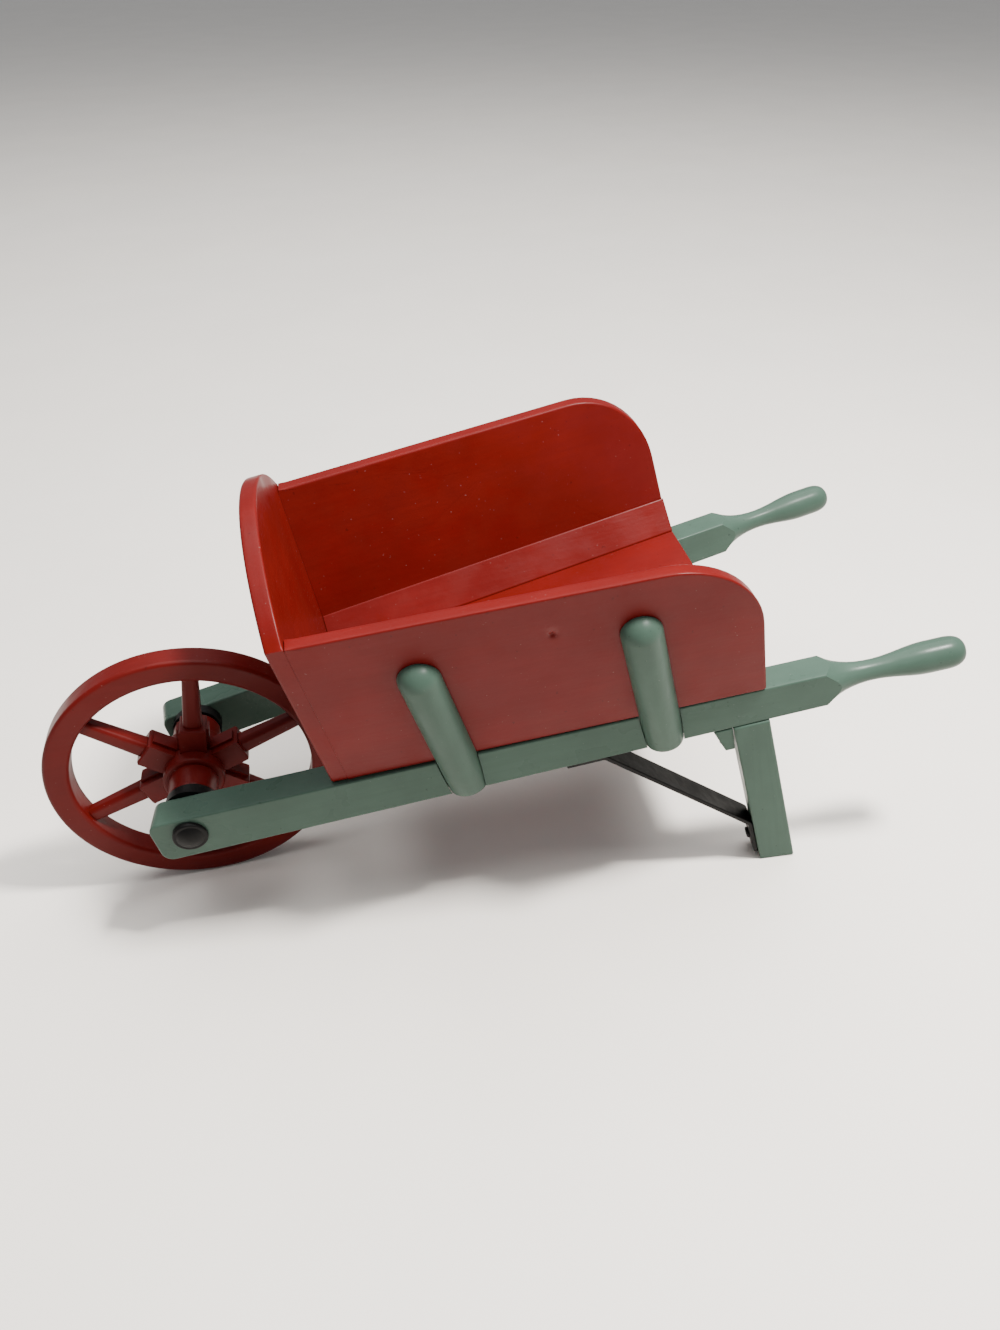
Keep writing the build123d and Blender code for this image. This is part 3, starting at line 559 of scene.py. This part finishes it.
def plain_steel(name, rgb):
    """Bright steel with fine marks and dull patches."""
    material, tree, shader, here = new_material(name)
    dull = ranged(tree, noise(tree, here, 260.0, 4.0), 0.4, 0.7, 0.0, 0.6)
    base = mixed(tree, dull, rgb, shade(rgb, 0.55))
    tree.links.new(base, shader.inputs["Base Color"])
    shader.inputs["Metallic"].default_value = 1.0
    rough = ranged(tree, noise(tree, here, 700.0, 2.0), 0.3, 0.7, 0.26, 0.44)
    tree.links.new(rough, shader.inputs["Roughness"])
    bumps(tree, shader, (noise(tree, here, 1800.0, 1.0), 0.2, 0.0001))
    return material


def finish(name):
    """One of the barrow's finishes, made the first time that it is asked for."""
    if name in bpy.data.materials:
        return bpy.data.materials[name]
    f, c = settings("barrow_frame"), settings("barrow_paint")
    red, sage, wheel_red = tuple(c.tray_red), tuple(c.sage), tuple(c.wheel_red)
    upright = (0.0, math.pi / 2 - f.pitch, 0.0)
    makers = {
        "tray_paint": (paint, red, (0.0, -f.pitch, 0.0)),
        "front_board_paint": (paint, red, ALONG_Y),
        "left_shaft_paint": (paint, sage, (0.0, -f.pitch, -f.toe), 0.30),
        "right_shaft_paint": (paint, sage, (0.0, -f.pitch, f.toe), 0.30),
        "upright_paint": (paint, sage, upright),
        "cross_bar_paint": (paint, sage, ALONG_Y),
        "rim_paint": (paint, wheel_red, (0.0, 0.0, 0.0), 0.38),
        "hub_paint": (paint, wheel_red, ALONG_Y, 0.38),
        "strap_iron": (black_iron, tuple(c.iron_black)),
        "screw_steel": (plain_steel, tuple(c.steel)),
    }
    maker, *values = makers[name]
    return maker(name, *values)


def spoke_paint(number, by):
    """Wheel paint with its grain along one spoke, at that angle from upright."""
    rgb = tuple(settings("barrow_paint").wheel_red)
    return paint(f"spoke_{number}_paint", rgb, (0.0, by - math.pi / 2, 0.0), 0.38)


# ---- tray
def on_side(outline, inset):
    """Outline in deck (x, z) put on the left board, inset from its outer face."""
    x, z = outline.T
    return np.stack([x, board_y(x, z, inset), z], axis=1)


def dent_place():
    """Middle of the dent on the left board's outer face, in deck coordinates."""
    t = settings("barrow_tray")
    x, z = t.front + t.dent_along, t.dent_height
    return np.array([x, board_y(x, z, 0.0), z])


def side_board_rings():
    """Left side board: a rounded outline with a big arc at the top rear, between its two planes."""
    t = settings("barrow_tray")
    start = t.front + t.board
    fall = (t.height_front - t.height_rear) / t.reach
    corners = [
        (start, 0.0),
        (tray_rear(), 0.0),
        (tray_rear() - t.rear_lean, t.height_rear),
        (start, t.height_front - fall * t.board),
    ]
    radii = [SAWN_CORNER, BOARD_CORNER, t.rear_radius, SAWN_CORNER]
    outline = resampled(rounded_outline(corners, radii, step=0.0022), count=360)
    free = eased(outline[:, 0] - start, low=0.0005, high=0.004)
    edge = PAINTED_JOINT + (t.edge - PAINTED_JOINT) * free
    outer, inner = on_side(outline, 0.0), on_side(outline, t.board)
    return plank(outer, inner, edge, wave=PLANED_WAVE, seed=1, pole=dent_place())


def dent(rings, centre, normal, radius, depth):
    """Push a small hollow into a surface: a bell-shaped depth round a point, along the normal."""
    reach = np.linalg.norm(rings - centre, axis=-1)
    bell = np.exp(-((reach / radius) ** 2))
    return rings - (depth * bell)[..., None] * normal


def front_board_rings():
    """Front board: its outline lies between the side planes, under an arc over the top."""
    t = settings("barrow_tray")
    crisp = 0.0001
    faces = []
    for x in (t.front, t.front + t.board):
        foot, top = -board_y(x, 0.0, 0.0), -board_y(x, t.height_front, 0.0)
        radius = (top**2 + t.arch**2) / 2 / t.arch
        reach = math.asin(top / radius)
        sweep = np.linspace(-reach, reach, 121)
        crest = t.height_front + t.arch
        arc = np.stack([radius * np.sin(sweep), crest - radius * (1 - np.cos(sweep))], axis=1)
        corners = [(foot, 0.0), (top, t.height_front), (-top, t.height_front), (-foot, 0.0)]
        radii = [BOARD_CORNER, crisp, crisp, BOARD_CORNER]
        straight = rounded_outline(corners, radii, step=0.0022)
        low = straight[straight[:, 1] < t.height_front - 0.0005]
        around = np.arctan2(low[:, 1] - t.height_front / 2, low[:, 0])
        low = low[np.argsort(-((around - math.pi / 2) % (2 * math.pi)))]
        outline = resampled(np.vstack([arc, low]), count=420)
        faces.append(np.column_stack([np.full(len(outline), x), outline]))
    free = eased(faces[1][:, 2] - t.height_front, low=-0.0005, high=0.0010)
    joint = PAINTED_JOINT + (t.edge - PAINTED_JOINT) * free
    return plank(faces[0], faces[1], t.edge, joint, wave=PLANED_WAVE, seed=4)


def floor_rings():
    """Tray floor between the side boards: two matching outlines, wider at the top."""
    t = settings("barrow_tray")
    start, end = t.front + t.board + GLUE_GAP, tray_rear()
    faces = []
    for z in (t.floor, 0.0):
        near = -board_y(start, z, t.board + GLUE_GAP)
        far = -board_y(end, z, t.board + GLUE_GAP)
        corners = [(start, -near), (end, -far), (end, far), (start, near)]
        outline = resampled(rounded_outline(corners, 0.0008, step=0.003), count=400)
        faces.append(np.column_stack([outline, np.full(len(outline), z)]))
    return plank(faces[0], faces[1], t.edge * 0.7, wave=PLANED_WAVE, seed=7)


def strip_rings():
    """Left corner strip: a three-cornered section at its front and rear ends, joined straight."""
    t = settings("barrow_tray")
    ends = []
    for x in (t.front + t.board + GLUE_GAP, tray_rear()):
        foot_out = board_y(x, t.floor, t.board + GLUE_GAP)
        foot_in = board_y(x, t.floor, t.board) + t.strip_width
        crest = board_y(x, t.floor + t.strip_height, t.board + GLUE_GAP)
        corners = [(foot_out, t.floor), (foot_in, t.floor), (crest, t.floor + t.strip_height)]
        section = rounded_outline(corners, [0.0003, SAWN_CORNER, SAWN_CORNER], step=0.0012)
        section = resampled(section, count=96)
        ends.append(np.column_stack([np.full(len(section), x), section]))
    return lengthened(plank(ends[0], ends[1], SAWN_CORNER), count=40)


class BARROW_OT_tray(bpy.types.Operator):
    """Make the tray: side boards, front board, floor and corner strips"""

    bl_idname = "barrow.tray"
    bl_label = "Make tray"

    def execute(self, context):
        t = settings("barrow_tray")
        slot, red = "red_tray_paint", finish("tray_paint")
        side = from_deck(side_board_rings())
        mark = dent_place()
        outwards = np.subtract(*from_deck(np.array([mark + [0, -1, -t.flare], mark])))
        outwards /= np.linalg.norm(outwards)
        dented = dent(side, from_deck(mark), outwards, t.dent_radius, t.dent_depth)
        put_fixed("left_side_board", "painted", dented, red)
        put_fixed("right_side_board", "painted", mirrored(side), red)
        board = from_deck(front_board_rings())
        put_fixed("front_board", "painted", board, finish("front_board_paint"))
        put_fixed("tray_floor", "painted", from_deck(floor_rings()), red)
        put_pair("corner_strip", "painted", from_deck(strip_rings()), red)
        return {"FINISHED"}


# ---- stakes
def stake_rings(along):
    """Left stake at a place along the deck: a D-shaped section with its flat on the board, carried
    up the board to a quarter-sphere top, where it shrinks as the root of 1 - h squared. The foot's
    points are slid along the stake to the level of the shaft's underside."""
    t = settings("barrow_tray")
    slope = math.tan(t.toe)
    x_axis = np.array([1.0, -slope, 0.0])
    x_axis /= np.linalg.norm(x_axis)
    out = np.array([-slope, -1.0, -t.flare])
    out /= np.linalg.norm(out)
    up = np.cross(out, x_axis)
    c, s = math.cos(t.stake_lean), math.sin(t.stake_lean)
    axis, across = up * c - x_axis * s, x_axis * c + up * s
    origin = np.array([0.0, -t.half_front, 0.0]) + x_axis * along / math.cos(t.toe)
    radius, corner, corner_rise = t.stake_radius, 0.0006, 0.45
    sweep = np.linspace(0.0, math.pi, 61)
    arc = np.stack([radius * np.cos(sweep), np.maximum(radius * np.sin(sweep), 0.0)], axis=1)
    flat = np.stack([np.linspace(-radius + corner, radius - corner, 24), np.zeros(24)], axis=1)
    arc[:, 1] += corner * np.exp(-((arc[:, 1] / corner) ** 2)) * corner_rise
    section = np.vstack([arc, flat]) + np.array([0.0, GLUE_GAP])
    top = t.stake_reach - radius
    rise = np.sin(np.linspace(0.0, math.pi / 2, 26))[:-1]
    heights = np.concatenate([np.linspace(0.0, top, 34)[:-1], top + radius * rise])
    sizes = np.concatenate([np.ones(33), np.sqrt(1 - rise**2)])
    points = section[None] * sizes[:, None, None]
    rings = origin + points[..., :1] * across + points[..., 1:] * out
    rings = rings + heights[:, None, None] * axis
    foot = rings[0] + axis * ((-underside(along) - rings[0][:, 2]) / axis[2])[:, None]
    shares = np.array([0.3, 0.6, 0.85, 0.93, 0.975])[:, None, None]
    cut = foot.mean(0) + (foot - foot.mean(0)) * shares
    runs = np.linspace(0, 1, 12)[:, None, None]
    lower = (foot + axis * corner) + (rings[0] - foot - axis * corner) * runs
    return np.concatenate([cut, lower, rings[1:]])


class BARROW_OT_stakes(bpy.types.Operator):
    """Make the four half-round stakes that hold the side boards"""

    bl_idname = "barrow.stakes"
    bl_label = "Make stakes"

    def execute(self, context):
        t = settings("barrow_tray")
        places = {"front": t.front + t.front_stake, "rear": tray_rear() - t.rear_stake}
        green = finish("upright_paint")
        for place, along in places.items():
            rings = from_deck(stake_rings(along))
            put_pair(f"{place}_stake", "painted", rings, green)
        return {"FINISHED"}


# ---- legs, cross bar and straps
def leg_place():
    """Axle to the leg's front face, under the shaft."""
    return tray_rear() - settings("barrow_frame").leg_ahead


def leg_front(depth):
    """Place of the leg's front face along the shaft at a depth below its top."""
    f = settings("barrow_frame")
    return leg_place() + math.tan(f.leg_rake) * (depth - underside(leg_place()))


def ground_depth():
    """Depth below a shaft's top at which the ground lies, at the leg."""
    f = settings("barrow_frame")
    along = leg_place() * math.cos(f.toe)
    return f.deck_height + AXLE[2] / math.cos(f.pitch) + along * math.tan(f.pitch)


def leg_rings():
    """Left leg: a four-cornered outline in the shaft's side view, as thick as the leg, with its
    lowest points brought down or up to the level ground."""
    f = settings("barrow_frame")
    width = f.leg_width / math.cos(f.leg_rake)
    front_top = underside(leg_place()) + GLUE_GAP
    rear_top = underside(leg_place() + width) + GLUE_GAP
    below_ground = 0.004
    deep = ground_depth() + below_ground
    corners = np.array([
        (leg_front(front_top), -front_top),
        (leg_front(rear_top) + width, -rear_top),
        (leg_front(deep) + width, -deep),
        (leg_front(deep), -deep),
    ])
    outer_y = -(f.shaft_thick / 2 + f.leg_proud)
    faces = []
    for y in (outer_y, outer_y + f.leg_thick):
        levels = from_shaft(np.insert(corners, 1, y, axis=1))[2:, 2] / math.cos(f.pitch)
        cut = corners.copy()
        cut[2:, 1] -= levels
        cut[2:, 0] += math.tan(f.leg_rake) * levels
        outline = rounded_outline(cut, [SAWN_CORNER, SAWN_CORNER, 0.0007, 0.0007], step=0.0016)
        faces.append(np.insert(resampled(outline, count=260), 1, y, axis=1))
    rings = from_shaft(plank(faces[0], faces[1], f.edge, wave=PLANED_WAVE, seed=2))
    rings[..., 2] = np.maximum(rings[..., 2], 0.0)
    return rings


def bar_rings():
    """Cross bar under both shafts: its section at the left end and at the right end."""
    f = settings("barrow_frame")
    out = f.shaft_thick / 2 + f.leg_proud
    rear = leg_place() * math.cos(f.toe) - out * math.sin(f.toe) - GLUE_GAP
    front = rear - f.bar_thick
    top = -(underside(front / math.cos(f.toe)) + GLUE_GAP)
    low = top - f.bar_height
    corners = [(front, top), (rear, top), (rear, low), (front + f.bar_bevel, low)]
    section = resampled(rounded_outline(corners, 0.0006, step=0.0012), count=160)
    end = f.half_spread + math.tan(f.toe) * section[:, 0]
    near = np.insert(section, 1, -end, axis=1)
    return from_deck(lengthened(plank(near, mirrored(near), f.edge * 0.8), count=30))


class BARROW_OT_legs(bpy.types.Operator):
    """Make both legs and the cross bar ahead of them"""

    bl_idname = "barrow.legs"
    bl_label = "Make legs and cross bar"

    def execute(self, context):
        put_pair("leg", "painted", leg_rings(), finish("upright_paint"))
        put_fixed("cross_bar", "painted", bar_rings(), finish("cross_bar_paint"))
        return {"FINISHED"}


def run_between(start, end, step):
    """Points of a straight run after its start, evenly spaced and about a step apart."""
    count = max(2, int(np.linalg.norm(end - start) / step))
    return start + (end - start) * np.linspace(0, 1, count)[1:, None]


def bent_path(corners, radius, step):
    """Open path of straight runs and tangent arcs, with the unit direction at each point."""
    start = corners[0]
    pieces = [start[None]]
    for before, here, after in zip(corners[:-2], corners[1:-1], corners[2:]):
        a, b = before - here, after - here
        a, b = a / np.linalg.norm(a), b / np.linalg.norm(b)
        half = math.acos(np.clip(a @ b, -1, 1)) / 2
        reach = radius / math.tan(half)
        centre = here + (a + b) / np.linalg.norm(a + b) * radius / math.sin(half)
        bend, leave = here + a * reach, here + b * reach
        pieces.append(run_between(start, bend, step))
        arc = arc_between(bend - centre, leave - centre, math.pi - 2 * half, 9)
        pieces.append(centre + arc[1:])
        start = leave
    pieces.append(run_between(start, corners[-1], step))
    points = np.concatenate(pieces)
    run = np.gradient(points, axis=0)
    return points, run / np.linalg.norm(run, axis=1)[:, None]


def strap_rings():
    """Left strap: a rounded flat section carried along its bent middle line, closed at both ends by
    rings that shrink to a blunt edge."""
    f, i = settings("barrow_frame"), settings("barrow_iron")
    bend_x = leg_place() - i.reach
    start_x = bend_x - i.upper_lap
    foot = ground_depth() - i.lift
    drop = foot - i.lower_lap
    inner = np.array([
        (start_x, -underside(start_x) - GLUE_GAP),
        (bend_x, -underside(bend_x) - GLUE_GAP),
        (leg_front(drop) - GLUE_GAP, -drop),
        (leg_front(foot) - GLUE_GAP, -foot),
    ])
    runs = np.diff(inner, axis=0)
    runs /= np.linalg.norm(runs, axis=1)[:, None]
    normals = np.stack([runs[:, 1], -runs[:, 0]], axis=1)
    mean = np.vstack([normals[:1], normals[:-1] + normals[1:], normals[-1:]])
    mean /= np.linalg.norm(mean, axis=1)[:, None]
    pad = np.vstack([normals[:1], normals])
    middle = inner + mean * (i.thick / 2 / (mean * pad).sum(1))[:, None]
    path, run = bent_path(middle, i.bend, step=0.0025)
    flat, half, blunt = i.thick / 2, i.width / 2, SAWN_CORNER
    corners = [(-half, -flat), (half, -flat), (half, flat), (-half, flat)]
    section = rounded_outline(corners, 0.0005, step=0.0008)
    stations = np.insert(path, 1, 0.0, axis=1)
    across = np.tile([0.0, 1.0, 0.0], (len(path), 1))
    up = np.column_stack([run[:, 1], np.zeros(len(path)), -run[:, 0]])
    rings = carried(section, stations, across, up)
    smaller = section * np.array([(half - blunt) / half, (flat - blunt) / flat])
    ends = carried(smaller, stations[[0, -1]], across[[0, -1]], up[[0, -1]])
    middles = stations[[0, -1], None] + (ends - stations[[0, -1], None]) * 0.4
    direction = np.insert(run, 1, 0.0, axis=1)
    rings[0] += direction[0] * blunt
    rings[-1] -= direction[-1] * blunt
    first, last = [middles[0], ends[0]], [ends[1], middles[1]]
    return from_shaft(np.concatenate([first, rings, last]))


class BARROW_OT_straps(bpy.types.Operator):
    """Make the two bent iron straps between shafts and legs"""

    bl_idname = "barrow.straps"
    bl_label = "Make iron straps"

    def execute(self, context):
        put_pair("brace", "forged", strap_rings(), finish("strap_iron"))
        return {"FINISHED"}


# ---- wheel and caps
def rim_rings():
    """Rim: a rounded rectangular section spun about the axle, with a slow waver of its faces."""
    w = settings("barrow_wheel")
    middle = w.radius - w.rim_depth / 2
    half_w, half_d = w.rim_width / 2, w.rim_depth / 2
    low, high = middle - half_d, middle + half_d
    corners = [(-half_w, low), (half_w, low), (half_w, high), (-half_w, high)]
    y, out = rounded_outline(corners, w.rim_edge, step=0.0011).T
    around = np.linspace(0, 2 * math.pi, 288, endpoint=False)[:, None]
    waver = RIM_WAVER * (np.sin(3 * around) + np.sin(7 * around + 1) - 2) / 2
    radius = out + np.where(out > middle, 1.0, -1.0) * waver
    y = np.broadcast_to(y, radius.shape)
    return np.stack([radius * np.cos(around), y, radius * np.sin(around)], axis=-1) + AXLE


def spoke_rings(by):
    """Spoke at an angle from upright: a rounded square carried outwards from socket to rim, its
    width falling evenly."""
    w = settings("barrow_wheel")
    rim_inner = w.radius - w.rim_depth
    seat = rim_inner - math.sqrt(rim_inner**2 - (w.spoke_rim / 2) ** 2)
    start, end = w.socket_reach + GLUE_GAP, rim_inner - seat - GLUE_GAP
    corners = [(-0.5, -0.5), (0.5, -0.5), (0.5, 0.5), (-0.5, 0.5)]
    square = rounded_outline(corners, 0.30, step=0.06)
    along = np.linspace(0, 1, 40)
    width = w.spoke_hub + (w.spoke_rim - w.spoke_hub) * along
    path = np.outer(start + (end - start) * along, [0.0, 0.0, 1.0])
    x_axis = np.tile([1.0, 0.0, 0.0], (len(path), 1))
    y_axis = np.tile([0.0, 1.0, 0.0], (len(path), 1))
    rings = carried(square, path, x_axis, y_axis, width)
    shares = np.array([0.5, 0.92])[:, None, None]
    foot = path[0] + (rings[0] - path[0]) * shares
    tip = path[-1] + (rings[-1] - path[-1]) * shares[::-1]
    return np.concatenate([foot, rings, tip]) @ turn(1, by).T + AXLE


def cap_rings():
    """Left axle cap: a dome inside a flat lip with a rounded edge, its back on the shaft."""
    f, w = settings("barrow_frame"), settings("barrow_wheel")
    lip_width, edge = 0.0016, 0.0008
    crown = w.cap_radius - lip_width
    shoulder = f.half_spread + w.cap_stand
    ball = (crown**2 + w.cap_dome**2) / 2 / w.cap_dome
    reach = math.asin(crown / ball)
    sweep = np.linspace(0.04, 1.0, 18) * reach
    height = w.cap_dome - ball * (1 - np.cos(sweep))
    dome = np.stack([shoulder + height, ball * np.sin(sweep)], axis=1)
    lip = np.array([(shoulder, crown + 0.0003), (shoulder, w.cap_radius - edge - 0.0002)])
    roll = np.linspace(0, math.pi / 2, 8)
    rim = np.stack(
        [shoulder - edge * (1 - np.cos(roll)), w.cap_radius - edge * (1 - np.sin(roll))], axis=1
    )
    profile = np.vstack([dome, lip, rim])
    profile[:, 0] *= -1.0
    rings = turned(profile, count=72, axis_point=AXLE)
    base = against_shaft(rings[-1])
    inner = against_shaft(AXLE + (base - AXLE) * np.array([0.55, 1.0, 0.55]))
    return np.concatenate([rings, [(rings[-1] + base) / 2, base, inner]])


def against_shaft(points):
    """Points near the axle, slid along y to a glue gap off the left shaft's outer face."""
    f = settings("barrow_frame")
    x, _, z = (points - AXLE).T
    deck_x = x * math.cos(f.pitch) + z * math.sin(f.pitch)
    y = -(f.half_spread + math.tan(f.toe) * deck_x) - GLUE_GAP / math.cos(f.toe)
    return np.stack([points[:, 0], y, points[:, 2]], axis=1)


class BARROW_OT_wheel(bpy.types.Operator):
    """Make the rim, the spokes and the axle caps"""

    bl_idname = "barrow.wheel"
    bl_label = "Make wheel"

    def execute(self, context):
        w = settings("barrow_wheel")
        slot, red = "red_wheel_paint", finish("rim_paint")
        rim = closed_ring(rim_rings())
        put_piece("wheel_rim_painted", rim, "wheel", "wheel_rim", red, 180.0)
        for number in range(1, w.spokes + 1):
            by = w.turn + (number - 1) * 2 * math.pi / w.spokes
            spoke = closed_tube(spoke_rings(by))
            red = spoke_paint(number, by)
            put_piece(f"spoke_{number}_painted", spoke, "wheel", f"spoke_{number}", red)
        put_pair("axle_cap", "turned", cap_rings(), finish("strap_iron"), 35.0)
        return {"FINISHED"}


# ---- finishes of the CAD pieces that stay
class BARROW_OT_finishes(bpy.types.Operator):
    """Give the shafts, the hub and all fasteners their finishes"""

    bl_idname = "barrow.finishes"
    bl_label = "Paint the frame's own pieces"

    def execute(self, context):
        names = {
            "left_shaft": "left_shaft_paint",
            "right_shaft": "right_shaft_paint",
            "wheel_hub": "hub_paint",
            # The hub washers are black iron, and their black is also partly painted shade: it
            # stands in for the dark shade round the hub's ends beside the shafts.
            "left_hub_washer": "strap_iron",
            "right_hub_washer": "strap_iron",
            "brace_screws": "strap_iron",
        }
        for node, piece in frame["nodes"].items():
            if piece.hide_render:
                continue
            piece.data.materials.clear()
            piece.data.materials.append(finish(names.get(node, "screw_steel")))
        return {"FINISHED"}


# ---- stage
def area_light(name, location, target, size, power, rgb):
    """A rectangular soft light that faces its target."""
    data = bpy.data.lights.new(name, "AREA")
    data.shape = "RECTANGLE"
    data.size, data.size_y = size
    data.energy = power
    data.color = rgb
    light = bpy.data.objects.new(name, data)
    light.location = location
    light.rotation_euler = (Vector(target) - Vector(location)).to_track_quat("-Z", "Y").to_euler()
    bpy.context.scene.collection.objects.link(light)


def table_material(rgb):
    """Pale table top: faint mottling and a soft satin."""
    material, tree, shader, here = new_material("pale_table")
    mottle = ranged(tree, noise(tree, here, 9.0), 0.3, 0.7, 0.0, 1.0)
    base = mixed(tree, mottle, shade(rgb, 0.985), shade(rgb, 1.01))
    tree.links.new(base, shader.inputs["Base Color"])
    shader.inputs["Roughness"].default_value = 0.6
    shader.inputs["Specular IOR Level"].default_value = 0.25
    return material


class BARROW_OT_stage(bpy.types.Operator):
    """Add the pale floor, the lights and the camera"""

    bl_idname = "barrow.stage"
    bl_label = "Add stage"

    def execute(self, context):
        scene = context.scene
        far = 6.0
        corners = [(-far, -far, 0), (far, -far, 0), (far, far, 0), (-far, far, 0)]
        floor = bpy.data.meshes.new("table_top")
        floor.from_pydata(corners, [], [(0, 1, 2, 3)])
        floor.materials.append(table_material(tuple(settings("barrow_paint").table)))
        table = bpy.data.objects.new("table_top", floor)
        scene.collection.objects.link(table)
        world = bpy.data.worlds.new("soft_room")
        scene.world = world
        world.use_nodes = True
        sky = world.node_tree.nodes["Background"]
        sky.inputs["Color"].default_value = (0.93, 0.96, 1.0, 1.0)
        sky.inputs["Strength"].default_value = 0.36
        warm, mild = (1.0, 0.965, 0.92), (1.0, 0.985, 0.96)
        area_light("key_light", (0.34, -0.20, 0.92), (0, 0, 0.05), (0.11, 0.11), 22.0, warm)
        area_light("overhead_light", (0.1, 0.35, 1.7), (0, 0, 0), (2.0, 2.0), 54.0, mild)
        camera_data = bpy.data.cameras.new("camera")
        camera = bpy.data.objects.new("camera", camera_data)
        camera.location = (-0.0501, -0.4241, 0.4106)
        camera.rotation_euler = (math.radians(54.6), 0.0, math.radians(-15.9))
        camera_data.lens = 29.25
        camera_data.sensor_width = 36.0
        camera_data.shift_x = -0.0993
        camera_data.shift_y = -0.0222
        camera_data.clip_start = 0.01
        scene.collection.objects.link(camera)
        scene.camera = camera
        return {"FINISHED"}


# ---- panel
class BARROW_PT_panel(bpy.types.Panel):
    """Lists the sizes and the operators"""

    bl_idname = "BARROW_PT_panel"
    bl_label = "Wooden wheelbarrow"
    bl_space_type = "VIEW_3D"
    bl_region_type = "UI"
    bl_category = "Barrow"

    def draw(self, context):
        for operator in OPERATORS:
            self.layout.operator(operator.bl_idname)
        for name, group in GROUPS.items():
            box = self.layout.box()
            box.label(text=group.__name__)
            for key in group.__annotations__:
                box.prop(getattr(context.scene, name), key)


OPERATORS = (
    BARROW_OT_tray,
    BARROW_OT_stakes,
    BARROW_OT_legs,
    BARROW_OT_straps,
    BARROW_OT_wheel,
    BARROW_OT_finishes,
    BARROW_OT_stage,
)


def register():
    """Register the groups, the operators and the panel."""
    for name, group in GROUPS.items():
        bpy.utils.register_class(group)
        setattr(bpy.types.Scene, name, bpy.props.PointerProperty(type=group))
    for operator in OPERATORS:
        bpy.utils.register_class(operator)
    bpy.utils.register_class(BARROW_PT_panel)


def unregister():
    """Take everything out again, in the opposite order."""
    bpy.utils.unregister_class(BARROW_PT_panel)
    for operator in reversed(OPERATORS):
        bpy.utils.unregister_class(operator)
    for name, group in reversed(GROUPS.items()):
        delattr(bpy.types.Scene, name)
        bpy.utils.unregister_class(group)


def main():
    """Register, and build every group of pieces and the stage."""
    register()
    bpy.ops.barrow.tray()
    bpy.ops.barrow.stakes()
    bpy.ops.barrow.legs()
    bpy.ops.barrow.straps()
    bpy.ops.barrow.wheel()
    bpy.ops.barrow.finishes()
    bpy.ops.barrow.stage()


if __name__ == "__main__":
    main()
